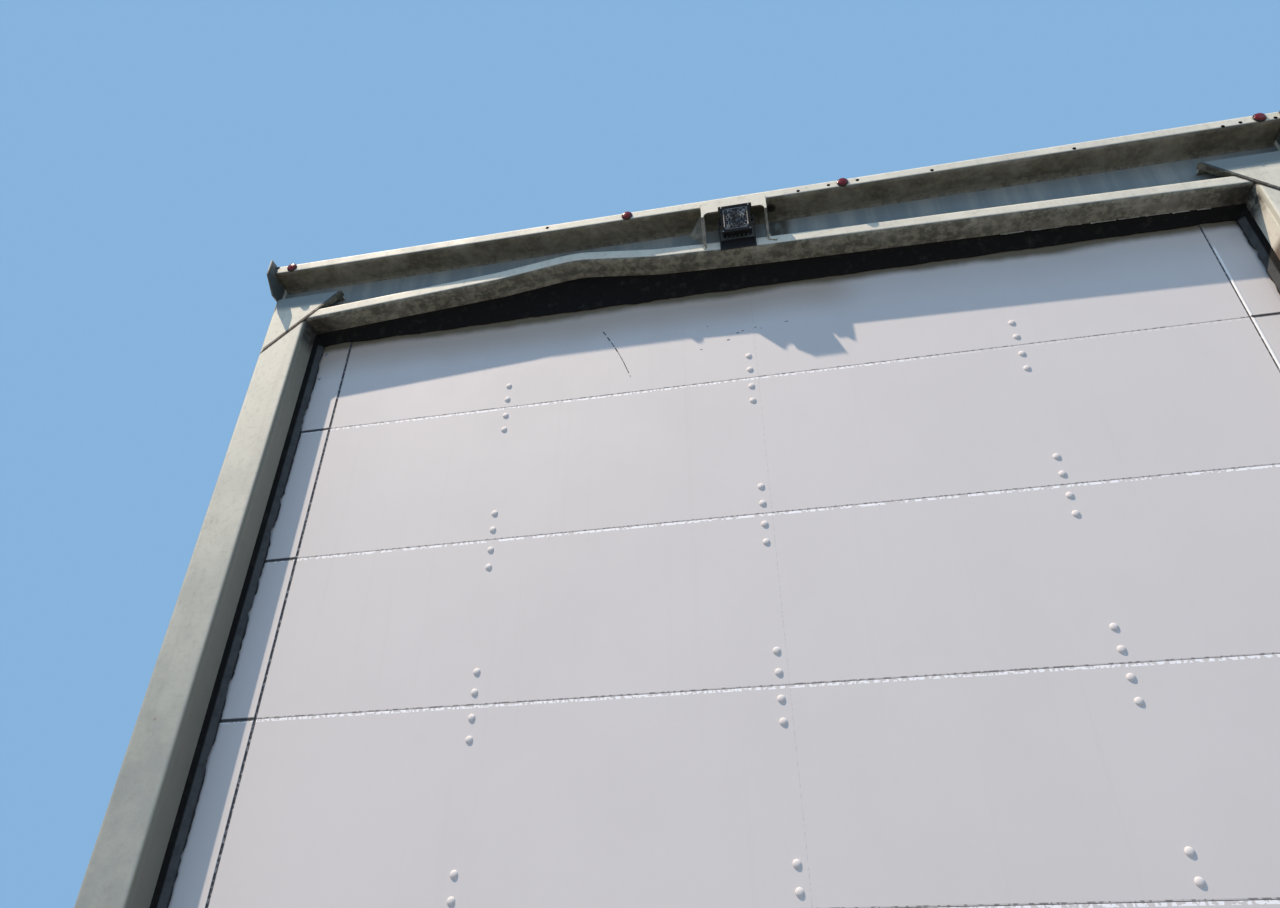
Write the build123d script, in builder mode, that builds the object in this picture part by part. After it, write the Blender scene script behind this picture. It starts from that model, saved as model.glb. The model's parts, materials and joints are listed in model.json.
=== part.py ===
from build123d import *
import os
from math import cos, radians, sin, sqrt

# Rear door frame of a box truck body, with its six-panel roll-up door, tracks and counterbalance.
# Millimetres. X runs to the right as seen from behind the truck, Y forward into the body, Z up.
# Origin: the middle of the sill's underside, in the plane of the door's outer face (Y = 0).

os.makedirs("parts", exist_ok=True)

# Frame
frame_width = 2438.0  # overall, 96 inches
sheet = 4.5  # wall of the formed frame members
post_proud = 80.0  # the post faces stand this far behind the door face
post_face = 108.0  # width of a post's rear face
return_depth = 55.0  # how far a post's inner side goes in before it steps out for the track
leg_width = 59.0  # width of the post's forward leg, outside the track pocket
frame_forward = 90.0  # how far the posts and sill reach forward of the door face
corner_round = 12.0  # outer bends of the posts
bend = 8.0  # outer bends of the sill and header
sill_height = 100.0

# Door
panel_count = 6
panel_height = 351.0
panel_thickness = 19.0
panel_cover = 2.0  # the door reaches this far past the opening on each side
seam_gap = 1.0  # open line between two panels on the outside
lap = 8.0  # height of the shiplap at each seam
seal_height = 12.0  # bottom seal under the last panel
hinge_column = 570.0  # side columns of hinges from the middle one

# Header
header_cover = 49.0  # the door's top edge is this far above the ledge
ledge_face = 34.0
ledge_depth = 57.0
ledge_round = 8.0
header_rise = 145.0  # from the ledge's underside to the lamp rail's underside
rail_face = 32.0
rail_proud = 118.0  # the lamp rail's face behind the door face
web_proud = 48.0  # the recessed web behind the door face
roof_seat = 70.0  # how far the top plate reaches forward of the door face
end_plate = 4.0
end_plate_proud = 140.0
end_plate_drop = 56.0  # how far the end plate hangs below the lamp rail
gusset_thickness = 16.0
gusset_height = 189.0  # a corner gusset's two straight sides
seam_width = 5.0  # the open seam under a gusset
wire_hole_radius = 7.0
wire_hole_x = 88.0
wire_hole_proud = 88.0

# The ledge is bent up by a blow: X from the middle, and how far it is lifted there
ledge_dent = [(-600.0, 40.0), (-400.0, 70.0), (-195.0, 40.0), (60.0, 27.0)]
dent_bend = 260.0

# Tracks and rollers
roller_radius = 12.7
roller_width = 12.0
roller_float = 1.3  # between a roller and the track's lips
stem_radius = 5.5
stem_clearance = 0.05
sleeve_radius = 9.0
sleeve_clearance = 0.2
roller_stand = 14.0  # roller centre from the door's inner face
track_sheet = 2.0
track_depth = 23.5
track_gap = 11.0  # from the track's back to the post's leg
track_radius = 230.0
track_run = 1800.0  # straight stretch under the roof
roof_drop = 81.0  # the straight stretch under the header's top
top_roller_drop = 40.0  # top roller below the door's top edge
bottom_roller_rise = 45.0
hanger_places = [0.25, 0.95]  # shares of the straight stretch

# Counterbalance
shaft_radius = 12.7
shaft_y = 47.0
shaft_drop = 78.0  # shaft centre under the header's top
drum_radius = 35.0  # under the cable
drum_flange = 42.0
drum_width = 26.0
cable_radius = 2.0
spring_radius = 29.0
spring_wall = 6.0
spring_length = 600.0
spring_start = 60.0  # from the middle bearing
bearing_clearance = 0.3
fit_gap = 0.3  # between fixed curved pieces that seat on each other

# Lamps
marker_radius = 13.5
marker_inset = 52.0  # outer marker lamps from the header's ends
marker_pair = 262.0  # inner marker lamps from the middle
guard_width = 156.0
guard_plate = 5.0
guard_proud = 126.0
guard_band = 40.0  # height of the guard's front band
guard_notch = 14.0  # cut up into the band over the lamp
lamp_x = 3.0
lamp_width = 70.0
lamp_height = 62.0
lamp_depth = 44.0
lamp_tilt = 30.0  # the lamp looks down by this angle at rest
lamp_proud = 106.0
lamp_drop = 80.0  # lamp centre below the header's top
lamp_pin = 4.0
pin_clearance = 0.05

# Latch
latch_rise = 120.0  # latch pivot above the door's bottom edge
latch_plate_thickness = 3.0
latch_boss = 5.0
lever_thickness = 8.0
lever_pin = 8.0
catch_radius = 81.0  # keeper pin from the latch pivot
catch_pin = 6.0
catch_clearance = 5.0
handle_length = 215.0

# Hinges
leaf = 3.0
leaf_height = 75.0
leaf_gap = 3.0  # from the seam to the nearer edge of a leaf
hinge_width = 50.0
knuckle_radius = 6.5
knuckle_stand = 8.0
knuckle_slot = 1.2
web_foot = 18.0  # where a knuckle's web leaves the leaf
web_spread = 0.6  # share of the knuckle's radius at which its web meets it, outward
web_rise = 0.8  # and along the door
web_part = 0.01  # keeps a hinge's two webs apart inside the knuckle
end_hinge_width = 60.0
end_hinge_inset = 22.0  # from the door's edge to the hinge's leaves
sleeve_inset = 1.0  # from the door's edge to a sleeve's end

# Brackets
arm = 5.0
bracket_drop = 90.0
cable_pin_radius = 5.0
cable_pin_rise = 32.0  # above the bottom roller
ear = 2.0

# Roller stems and roller form
collar_radius = 8.0
collar = 2.0
side_play = 0.3
stem_start = 70.0  # inward from the door's edge
roller_rim = 2.2
roller_dish = 1.5
roller_edge = 1.0  # bevel of a roller's rims
roller_back = 3.0  # from the track's inner back to a roller

# Track clips and hangers
clip_sheet = 3.0
clip_foot = 24.0
clip_height = 40.0
hanger_sheet = 3.5
hanger_length = 60.0
hanger_flange = 42.0
roof_thickness = 36.0
hanger_hole = 4.5
hanger_pitch = 30.0

# Bearings, cones, drums and cable ends
bearing_plate = 6.0
bearing_radius = 24.0
bearing_boss = 9.0
cone_plug = 60.0
cone_head = 36.0
cone_head_radius = 26.0
cone_flange = 32.0
drum_rim = 4.0
drum_hub = 16.0
drum_hub_radius = 20.0
wrap_turn = 320.0  # degrees of cable that lie on the drum with the door shut
ferrule = 16.0
ferrule_radius = 3.2

# Seals
seal_sheet = 3.0
seal_lip = 22.0  # how far a side lip reaches in over the door
seal_base = 26.0
top_lip = 25.0  # how far the top lip hangs below the ledge
top_base = 30.0

# Lamp, guard and yoke form
marker_rim = 3.0
marker_dome = 9.0
marker_taper = 28.0  # degrees
wing_spread = 35.0
wing_sheet = 4.0
guard_inset = 19.0  # guard's top below the header's top
guard_drop = 132.0  # guard's foot below the header's top
cheek_rake = 60.0  # rise of a cheek's lower edge towards the rear
wing_heel = 12.0  # the wing's lower corner above the guard's foot
wing_tip = 44.0  # the wing's outer corner above the guard's foot
lamp_bezel = 5.0
lamp_recess = 4.0
fin_count = 6
fin_slot = 5.0
fin_depth = 14.0
yoke_gap = 5.0
yoke_sheet = 3.0
lens_sheet = 2.0
yoke_foot = 30.0
arm_end = 10.0
arm_spread = 0.8  # shares of an arm's end radius where its sides meet the end
arm_rise = 0.6
yoke_top = 27.0  # yoke foot's top above the ledge's face

# Latch form
latch_plate_width = 120.0
latch_plate_height = 150.0
boss_radius = 17.0
pin_head = 13.0
pin_head_thickness = 4.0
hook_rim = 16.0
hook_side = 30.0  # degrees from the pin to the hook's closed side
hook_mouth = 12.0  # degrees from the pin to the hook's open side
hub_radius = 22.0
handle_height = 26.0
keeper_width = 44.0
keeper_sheet = 6.0

# Places that follow
half = frame_width / 2
opening = half - post_face
panel_half = opening + panel_cover
door_bottom = sill_height + seal_height
door_top = door_bottom + panel_count * panel_height
seams = [door_bottom + panel_height * n for n in range(1, panel_count)]
ledge_bottom = door_top - header_cover
rail_bottom = ledge_bottom + header_rise
header_top = rail_bottom + rail_face
gusset_top = rail_bottom - end_plate_drop
web_front = sheet - web_proud
clip_heights = [door_bottom + panel_height * (n + 0.5) for n in range(panel_count - 1)]
outer_marker = half - marker_inset
marker_places = [-outer_marker, -marker_pair, marker_pair, outer_marker]
roller_y = panel_thickness + roller_stand
track_half = roller_radius + roller_float + track_sheet
leg_inner = half - leg_width
track_back = leg_inner - track_gap
track_lip = track_back - track_depth
run_z = header_top - roof_drop
curve_z = run_z - track_radius
curve_y = roller_y + track_radius
shaft_z = header_top - shaft_drop
cable_y = shaft_y - drum_radius - fit_gap - cable_radius
cable_x = (panel_half + track_lip) / 2
roller_x = track_back - track_sheet - roller_back - roller_width
top_roller_z = door_top - top_roller_drop
top_roller_y = curve_y - sqrt(track_radius**2 - (top_roller_z - curve_z) ** 2)
bottom_roller_z = door_bottom + bottom_roller_rise
rollers = [(top_roller_y, top_roller_z)] + [(roller_y, z) for z in reversed(seams)]
rollers += [(roller_y, bottom_roller_z)]
sides = {"left": -1, "right": 1}


def dented_line(rise):
    """Corner points of the ledge's bent line, at a height above its straight underside."""
    ends = [(-opening, 0.0), (opening, 0.0)]
    points = ends[:1] + ledge_dent + ends[1:]
    return [(x, ledge_bottom + rise + lift) for x, lift in points]


def ledge_band(low, high):
    """Face between two copies of the bent line, as seen from behind the truck."""
    with BuildSketch() as band:
        with BuildLine():
            lower = FilletPolyline(*dented_line(low), radius=dent_bend)
            upper = FilletPolyline(*dented_line(high), radius=dent_bend)
            Line(lower @ 0, upper @ 0)
            Line(lower @ 1, upper @ 1)
        make_face()
    return band.sketch


def gusset_face(side, seam):
    """Outline of a corner gusset as seen from behind the truck, its sloping edge let down by a seam."""
    reach = gusset_height + seam
    with BuildSketch() as outline:
        with BuildLine():
            Polyline(
                (side * half, gusset_top - reach),
                (side * half, gusset_top),
                (side * (half - reach), gusset_top),
                close=True,
            )
        make_face()
    return outline.sketch


def across(x, y, z):
    """Place on a shaft or pin that runs across the truck."""
    return Location((x, y, z), (0, 90, 0))


# Sill: a formed channel under the door, open to the front
with BuildPart() as sill:
    with BuildSketch(Plane.YZ.offset(-half)):
        with BuildLine():
            FilletPolyline(
                (frame_forward, sill_height),
                (-post_proud, sill_height),
                (-post_proud, 0),
                (frame_forward, 0),
                radius=bend,
            )
            offset(amount=sheet, side=Side.LEFT)
        make_face()
    extrude(amount=frame_width)
sill.part.label = "sill"
export_step(sill.part, "parts/sill.step")

# Posts: closed L-shaped members, cut away at the top for the corner gusset and the header's recess
for name, side in sides.items():
    with BuildPart() as post:
        with BuildSketch(Plane.XY.offset(sill_height)):
            with BuildLine():
                Polyline(
                    (side * opening, -post_proud),
                    (side * half, -post_proud),
                    (side * half, frame_forward),
                    (side * leg_inner, frame_forward),
                    (side * leg_inner, return_depth - post_proud),
                    (side * opening, return_depth - post_proud),
                    close=True,
                )
            make_face()
            rear_corners = vertices().group_by(Axis.Y)[0]
            fillet(rear_corners, radius=corner_round)
            offset(amount=-sheet, kind=Kind.INTERSECTION, mode=Mode.SUBTRACT)
        extrude(amount=rail_bottom - sill_height)
        with BuildSketch(Plane.XZ.offset(post_proud)):
            add(gusset_face(side, seam_width))
        extrude(amount=-gusset_thickness, mode=Mode.SUBTRACT)
        with BuildSketch(Plane.XZ.offset(post_proud)):
            with Locations((side * half, rail_bottom)):
                Rectangle(2 * post_face, 2 * (rail_bottom - gusset_top + sheet))
        extrude(amount=-(post_proud + web_front), mode=Mode.SUBTRACT)
    post.part.label = f"post_{name}"
    export_step(post.part, f"parts/post_{name}.step")

# Header rail: one sheet folded into roof seat, lamp rail and recessed web
with BuildPart() as header_rail:
    with BuildSketch(Plane.YZ.offset(-half + end_plate)):
        with BuildLine():
            FilletPolyline(
                (roof_seat, header_top),
                (-rail_proud, header_top),
                (-rail_proud, rail_bottom),
                (-web_proud, rail_bottom),
                (-web_proud, ledge_bottom),
                radius=bend,
            )
            offset(amount=sheet, side=Side.LEFT)
        make_face()
    extrude(amount=frame_width - 2 * end_plate)
    with BuildSketch(Plane.XZ.offset(post_proud)):
        with Locations((-half, ledge_bottom), (half, ledge_bottom)):
            Rectangle(2 * post_face, 2 * (gusset_top - sheet - ledge_bottom))
        add(ledge_band(-post_face, ledge_face))
    extrude(amount=-post_proud, mode=Mode.SUBTRACT)
    with Locations((wire_hole_x, -wire_hole_proud, rail_bottom)):
        Cylinder(wire_hole_radius, 4 * sheet, mode=Mode.SUBTRACT)
header_rail.part.label = "header_rail"
export_step(header_rail.part, "parts/header_rail.step")

# Header ledge: box lip over the opening, bent up left of the middle
with BuildPart() as header_ledge:
    with BuildSketch(Plane.XZ.offset(post_proud)):
        add(ledge_band(0, ledge_face))
    extrude(amount=-ledge_depth)
    rear_face = header_ledge.faces().sort_by(Axis.Y)[0]
    long_edges = rear_face.edges().filter_by(lambda e: abs(e.tangent_at(0.5).X) > 0.5)
    fillet(long_edges, radius=ledge_round)
    with BuildSketch(Plane.XZ.offset(post_proud - sheet)):
        add(ledge_band(sheet, ledge_face - sheet))
    extrude(amount=2 * sheet - ledge_depth, mode=Mode.SUBTRACT)
    with BuildSketch(Plane.XZ.offset(post_proud)):
        for side in sides.values():
            add(gusset_face(side, seam_width))
    extrude(amount=-gusset_thickness, mode=Mode.SUBTRACT)
header_ledge.part.label = "header_ledge"
export_step(header_ledge.part, "parts/header_ledge.step")

# Corner gussets: thick plates flush with the post and ledge, over an open diagonal seam, each with
# a flange from its top edge forward to the recessed web
for name, side in sides.items():
    with BuildPart() as gusset:
        with BuildSketch(Plane.XZ.offset(post_proud)):
            add(gusset_face(side, 0))
        extrude(amount=-gusset_thickness)
        outer_edges = gusset.edges().filter_by(Axis.Z).group_by(Axis.X)[0 if side < 0 else -1]
        fillet(outer_edges.sort_by(Axis.Y)[0], radius=corner_round)
        flange_depth = post_proud - gusset_thickness - web_proud
        flange_width = gusset_height - sheet
        flange_x = side * (half - flange_width / 2)
        with Locations((flange_x, -web_proud - flange_depth / 2, gusset_top - sheet / 2)):
            Box(flange_width, flange_depth, sheet)
    gusset.part.label = f"corner_gusset_{name}"
    export_step(gusset.part, f"parts/corner_gusset_{name}.step")

# End plates: close the header's ends and stand out behind the lamp rail
with BuildPart() as header_ends:
    for side in sides.values():
        with BuildSketch(Plane.YZ.offset(side * half - (end_plate if side > 0 else 0))):
            with BuildLine():
                Polyline(
                    (roof_seat, header_top),
                    (-end_plate_proud, header_top),
                    (-end_plate_proud, rail_bottom - end_plate_drop / 3),
                    (-(rail_proud + post_proud) / 2, gusset_top),
                    (web_front, gusset_top),
                    (web_front, rail_bottom),
                    (roof_seat, rail_bottom),
                    close=True,
                )
            make_face()
        extrude(amount=end_plate)
header_ends.part.label = "header_ends"
export_step(header_ends.part, "parts/header_ends.step")

# Door panels, counted from the top, with a shiplap at each seam that sheds water to the outside
lap_line = panel_thickness / 2
for number in range(1, panel_count + 1):
    top = door_top - panel_height * (number - 1)
    bottom = top - panel_height
    tongue = 0 if number == 1 else lap
    rebate = 0 if number == panel_count else lap
    with BuildPart() as panel:
        leaves = [
            (lap_line / 2, bottom + seam_gap / 2, top - seam_gap / 2),
            (1.5 * lap_line, bottom + rebate + seam_gap / 2, top + tongue - seam_gap / 2),
        ]
        with BuildSketch(Plane.YZ.offset(-panel_half)):
            for middle, low, high in leaves:
                with Locations((middle, (low + high) / 2)):
                    Rectangle(lap_line, high - low)
        extrude(amount=2 * panel_half)
    panel.part.label = f"door_panel_{number}"
    export_step(panel.part, f"parts/door_panel_{number}.step")


def hinge_section(z, stand, radius):
    """Side view of a hinge at a seam: two leaves on the door's inner face and the knuckle between."""
    inner = panel_thickness
    with BuildSketch() as section:
        for way in (-1, 1):
            with BuildLine():
                Polyline(
                    (inner, z + way * leaf_gap),
                    (inner, z + way * leaf_height),
                    (inner + leaf, z + way * leaf_height),
                    (inner + leaf, z + way * web_foot),
                    (inner + stand + radius * web_spread, z + way * radius * web_rise),
                    (inner + stand, z + way * web_part),
                    close=True,
                )
            make_face()
        with Locations((inner + stand, z)):
            Circle(radius)
    return section.sketch


# Middle hinges: three columns on every seam, each knuckle cut into three
with BuildPart() as middle_hinges:
    for column in (-hinge_column, 0, hinge_column):
        for seam in seams:
            with BuildSketch(Plane.YZ.offset(column - hinge_width / 2)):
                add(hinge_section(seam, knuckle_stand, knuckle_radius))
            extrude(amount=hinge_width)
            cut_y = panel_thickness + leaf + knuckle_stand
            knuckle_places = [(column + way * hinge_width / 6, cut_y, seam) for way in (-1, 1)]
            with Locations(*knuckle_places):
                Box(knuckle_slot, 2 * knuckle_stand, 2 * knuckle_radius, mode=Mode.SUBTRACT)
middle_hinges.part.label = "middle_hinges"
export_step(middle_hinges.part, "parts/middle_hinges.step")

# End hinges: the knuckle carries a long sleeve for the roller's stem
for name, side in sides.items():
    inner_x = side * (panel_half - end_hinge_inset - end_hinge_width)
    outer_x = side * (panel_half - sleeve_inset)
    with BuildPart() as end_hinges:
        for seam in seams:
            with BuildSketch(Plane.YZ.offset(inner_x)):
                add(hinge_section(seam, roller_stand, sleeve_radius))
            extrude(amount=side * end_hinge_width)
            with Locations(across((inner_x + outer_x) / 2, roller_y, seam)):
                Cylinder(sleeve_radius, abs(outer_x - inner_x))
                Cylinder(stem_radius + sleeve_clearance, frame_width / 2, mode=Mode.SUBTRACT)
    end_hinges.part.label = f"end_hinges_{name}"
    export_step(end_hinges.part, f"parts/end_hinges_{name}.step")

# Top and bottom brackets: they carry the first and the last roller of each side
hinge_start = panel_half - end_hinge_inset - end_hinge_width
sleeve_end = panel_half - sleeve_inset
sleeve_middle = (hinge_start + sleeve_end) / 2
sleeve_length = sleeve_end - hinge_start
foot_low = top_roller_z - bracket_drop
foot_high = door_top - 2 * leaf
with BuildPart() as top_brackets:
    for side in sides.values():
        with BuildSketch(Plane.YZ.offset(side * hinge_start)):
            with BuildLine():
                Polyline(
                    (panel_thickness, foot_low),
                    (panel_thickness, foot_high),
                    (panel_thickness + leaf, foot_high),
                    (top_roller_y, top_roller_z + sleeve_radius),
                    (top_roller_y, top_roller_z - sleeve_radius),
                    (panel_thickness + leaf, foot_low),
                    close=True,
                )
            make_face()
        extrude(amount=side * arm)
        foot_x = side * (hinge_start + end_hinge_width / 2)
        with Locations((foot_x, panel_thickness + leaf / 2, (foot_low + foot_high) / 2)):
            Box(end_hinge_width, leaf, foot_high - foot_low)
        with Locations(across(side * sleeve_middle, top_roller_y, top_roller_z)):
            Cylinder(sleeve_radius, sleeve_length)
            Cylinder(stem_radius + sleeve_clearance, 2 * sleeve_length, mode=Mode.SUBTRACT)
top_brackets.part.label = "top_brackets"
export_step(top_brackets.part, "parts/top_brackets.step")

foot_low = door_bottom + leaf
foot_high = bottom_roller_z + bracket_drop
pin_z = bottom_roller_z + cable_pin_rise
ear_top = pin_z + 2 * cable_pin_radius
ear_rear = cable_y - 2 * cable_pin_radius
ear_x = panel_half + seam_gap / 2
with BuildPart() as bottom_brackets:
    for side in sides.values():
        with BuildSketch(Plane.YZ.offset(side * hinge_start)):
            with BuildLine():
                Polyline(
                    (panel_thickness, foot_low),
                    (panel_thickness, foot_high),
                    (panel_thickness + leaf, foot_high),
                    (roller_y, bottom_roller_z + sleeve_radius),
                    (roller_y, bottom_roller_z - sleeve_radius),
                    (panel_thickness + leaf, foot_low),
                    close=True,
                )
            make_face()
        extrude(amount=side * arm)
        with BuildSketch(Plane.XZ.offset(-panel_thickness)):
            with BuildLine():
                Polyline(
                    (side * hinge_start, foot_low),
                    (side * (ear_x + ear), foot_low),
                    (side * (ear_x + ear), ear_top),
                    (side * (sleeve_end - end_hinge_inset), foot_high),
                    (side * hinge_start, foot_high),
                    close=True,
                )
            make_face()
        extrude(amount=-leaf)
        with BuildSketch(Plane.YZ.offset(side * ear_x)):
            with BuildLine():
                Polyline(
                    (panel_thickness + leaf, foot_low),
                    (panel_thickness + leaf, ear_top),
                    (ear_rear, ear_top),
                    (ear_rear, pin_z - 2 * cable_pin_radius),
                    (panel_thickness, foot_low),
                    close=True,
                )
            make_face()
        extrude(amount=side * ear)
        with BuildSketch(Plane.YZ.offset(side * ear_x)):
            with Locations((cable_y, pin_z)):
                Circle(cable_pin_radius)
        extrude(amount=side * (track_lip - seam_gap - ear_x))
        with Locations(across(side * sleeve_middle, roller_y, bottom_roller_z)):
            Cylinder(sleeve_radius, sleeve_length)
            Cylinder(stem_radius + sleeve_clearance, sleeve_length, mode=Mode.SUBTRACT)
bottom_brackets.part.label = "bottom_brackets"
export_step(bottom_brackets.part, "parts/bottom_brackets.step")

# Roller stems: each slides in its sleeve and holds its roller between a collar and a head
with BuildPart() as roller_stems:
    head_x = roller_x + roller_width + side_play
    spans = [
        (stem_radius, panel_half - stem_start, head_x + collar),
        (collar_radius, roller_x - side_play - collar, roller_x - side_play),
        (collar_radius, head_x, head_x + collar),
    ]
    for side in sides.values():
        for y, z in rollers:
            for radius, start, stop in spans:
                with Locations(across(side * (start + stop) / 2, y, z)):
                    Cylinder(radius, stop - start)
roller_stems.part.label = "roller_stems"
export_step(roller_stems.part, "parts/roller_stems.step")

# Track rollers, counted from the top: each turns on its stem
for name, side in sides.items():
    for number, (y, z) in enumerate(rollers, start=1):
        with BuildPart() as roller:
            with Locations(across(side * (roller_x + roller_width / 2), y, z)):
                Cylinder(roller_radius, roller_width)
            chamfer(roller.edges(), length=roller_edge)
            for face in (roller_x, roller_x + roller_width):
                with Locations(across(side * face, y, z)):
                    Cylinder(roller_radius - roller_rim, 2 * roller_dish, mode=Mode.SUBTRACT)
            with Locations(across(side * (roller_x + roller_width / 2), y, z)):
                Cylinder(collar_radius, roller_width)
                Cylinder(stem_radius + stem_clearance, 2 * roller_width, mode=Mode.SUBTRACT)
        roller.part.label = f"track_roller_{name}_{number}"
        export_step(roller.part, f"parts/track_roller_{name}_{number}.step")

# Tracks: a light channel, straight up beside the door, round the curve and forward under the roof
for name, side in sides.items():
    middle_x = side * (track_back - track_depth / 2)
    with BuildPart() as track:
        with BuildLine(Plane.YZ.offset(middle_x)):
            rise = Line((roller_y, sill_height), (roller_y, curve_z))
            turn = JernArc(start=rise @ 1, tangent=rise % 1, radius=track_radius, arc_size=-90)
            Line(turn @ 1, turn @ 1 + Vector(0, track_run, 0))
        with BuildSketch(Plane.XY.offset(sill_height)):
            with Locations((middle_x, roller_y)):
                Rectangle(track_depth, 2 * track_half)
            with Locations((middle_x - side * track_sheet, roller_y)):
                Rectangle(track_depth, 2 * (track_half - track_sheet), mode=Mode.SUBTRACT)
        sweep()
    track.part.label = f"track_{name}"
    export_step(track.part, f"parts/track_{name}.step")

# Track clips: joggled straps from the track's back to the post's leg
with BuildPart() as track_clips:
    for side in sides.values():
        for height in clip_heights:
            near = roller_y - clip_foot / 2
            joggle = near + clip_foot
            with BuildSketch(Plane.XY.offset(height - clip_height / 2)):
                with BuildLine():
                    Polyline(
                        (side * track_back, near),
                        (side * (track_back + clip_sheet), near),
                        (side * (track_back + clip_sheet), joggle - clip_sheet),
                        (side * leg_inner, joggle - clip_sheet),
                        (side * leg_inner, joggle + clip_foot),
                        (side * (leg_inner - clip_sheet), joggle + clip_foot),
                        (side * (leg_inner - clip_sheet), joggle),
                        (side * track_back, joggle),
                        close=True,
                    )
                make_face()
            extrude(amount=clip_height)
track_clips.part.label = "track_clips"
export_step(track_clips.part, "parts/track_clips.step")

# Track hangers: angles from the straight stretch up to the roof, with two holes each
hanger_top = header_top - roof_thickness
with BuildPart() as track_hangers:
    for side in sides.values():
        for share in hanger_places:
            middle_y = curve_y + share * track_run
            back = track_back
            with BuildSketch(Plane.XZ.offset(hanger_length / 2 - middle_y)):
                with BuildLine():
                    Polyline(
                        (side * back, run_z - track_half),
                        (side * back, hanger_top),
                        (side * (back + hanger_flange), hanger_top),
                        (side * (back + hanger_flange), hanger_top - hanger_sheet),
                        (side * (back + hanger_sheet), hanger_top - hanger_sheet),
                        (side * (back + hanger_sheet), run_z - track_half),
                        close=True,
                    )
                make_face()
            extrude(amount=-hanger_length)
            hole_x = side * (back + (hanger_flange + hanger_sheet) / 2)
            hole_places = [(hole_x, middle_y + way * hanger_pitch / 2, hanger_top) for way in (-1, 1)]
            with Locations(*hole_places):
                Cylinder(hanger_hole, 4 * hanger_sheet, mode=Mode.SUBTRACT)
track_hangers.part.label = "track_hangers"
export_step(track_hangers.part, "parts/track_hangers.step")

# Counterbalance shaft across the head of the frame
with BuildPart() as counterbalance_shaft:
    with Locations(across(0, shaft_y, shaft_z)):
        Cylinder(shaft_radius, 2 * (leg_inner - sheet))
counterbalance_shaft.part.label = "counterbalance_shaft"
export_step(counterbalance_shaft.part, "parts/counterbalance_shaft.step")

# Bearing plates: one hangs from the roof seat in the middle, one is flanged to each post's leg
with BuildPart() as bearing_plates:
    with BuildSketch(Plane.YZ.offset(-bearing_plate / 2)):
        with Locations((shaft_y, (shaft_z + header_top - sheet) / 2)):
            Rectangle(2 * (roof_seat - shaft_y), header_top - sheet - shaft_z)
        with Locations((shaft_y, shaft_z)):
            Circle(bearing_radius)
    extrude(amount=bearing_plate)
    with Locations(across(0, shaft_y, shaft_z)):
        Cylinder(shaft_radius + bearing_clearance, 4 * bearing_plate, mode=Mode.SUBTRACT)
    for side in sides.values():
        with Locations((side * (leg_inner - sheet / 2), shaft_y, shaft_z)):
            Box(sheet, 3 * bearing_radius, 3 * bearing_radius)
        with Locations(across(side * (leg_inner - sheet - bearing_boss / 2), shaft_y, shaft_z)):
            Cylinder(bearing_radius, bearing_boss)
        with Locations(across(side * leg_inner, shaft_y, shaft_z)):
            Cylinder(shaft_radius + bearing_clearance, 6 * bearing_boss, mode=Mode.SUBTRACT)
bearing_plates.part.label = "bearing_plates"
export_step(bearing_plates.part, "parts/bearing_plates.step")

# Torsion springs: a close-wound coil each side of the middle bearing, as the coil's outer form
with BuildPart() as torsion_springs:
    for side in sides.values():
        with Locations(across(side * (spring_start + spring_length / 2), shaft_y, shaft_z)):
            Cylinder(spring_radius, spring_length)
            Cylinder(spring_radius - spring_wall, spring_length, mode=Mode.SUBTRACT)
torsion_springs.part.label = "torsion_springs"
export_step(torsion_springs.part, "parts/torsion_springs.step")

# Spring cones: the fixed cones bolt to the middle bearing, the winding cones clamp the shaft
cone_bore = shaft_radius + bearing_clearance
with BuildPart() as spring_cones:
    for side in sides.values():
        plug_radius = spring_radius - spring_wall - fit_gap
        spring_end = spring_start + spring_length
        spans = [
            (cone_flange, bearing_plate / 2, bearing_plate / 2 + bearing_boss),
            (plug_radius, bearing_plate / 2, spring_start + cone_plug),
            (plug_radius, spring_end - cone_plug, spring_end + fit_gap),
            (cone_head_radius, spring_end + fit_gap, spring_end + cone_head),
        ]
        for radius, start, stop in spans:
            with Locations(across(side * (start + stop) / 2, shaft_y, shaft_z)):
                Cylinder(radius, stop - start)
    with Locations(across(0, shaft_y, shaft_z)):
        Cylinder(cone_bore, frame_width, mode=Mode.SUBTRACT)
    for side in sides.values():
        with Locations((side * (spring_end + 0.6 * cone_head), shaft_y, shaft_z)):
            Cylinder(spring_wall, 3 * cone_head_radius, mode=Mode.SUBTRACT)
spring_cones.part.label = "spring_cones"
export_step(spring_cones.part, "parts/spring_cones.step")

# Cable drums at the ends of the shaft
drum_root = drum_width / 2 - drum_rim
with BuildPart() as cable_drums:
    for side in sides.values():
        spans = [
            (drum_flange, cable_x - drum_width / 2, cable_x - drum_root),
            (drum_radius, cable_x - drum_root, cable_x + drum_root),
            (drum_flange, cable_x + drum_root, cable_x + drum_width / 2),
            (drum_hub_radius, cable_x - drum_width / 2 - drum_hub, cable_x - drum_root),
        ]
        for radius, start, stop in spans:
            with Locations(across(side * (start + stop) / 2, shaft_y, shaft_z)):
                Cylinder(radius, stop - start)
    with Locations(across(0, shaft_y, shaft_z)):
        Cylinder(cone_bore, frame_width, mode=Mode.SUBTRACT)
cable_drums.part.label = "cable_drums"
export_step(cable_drums.part, "parts/cable_drums.step")

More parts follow.
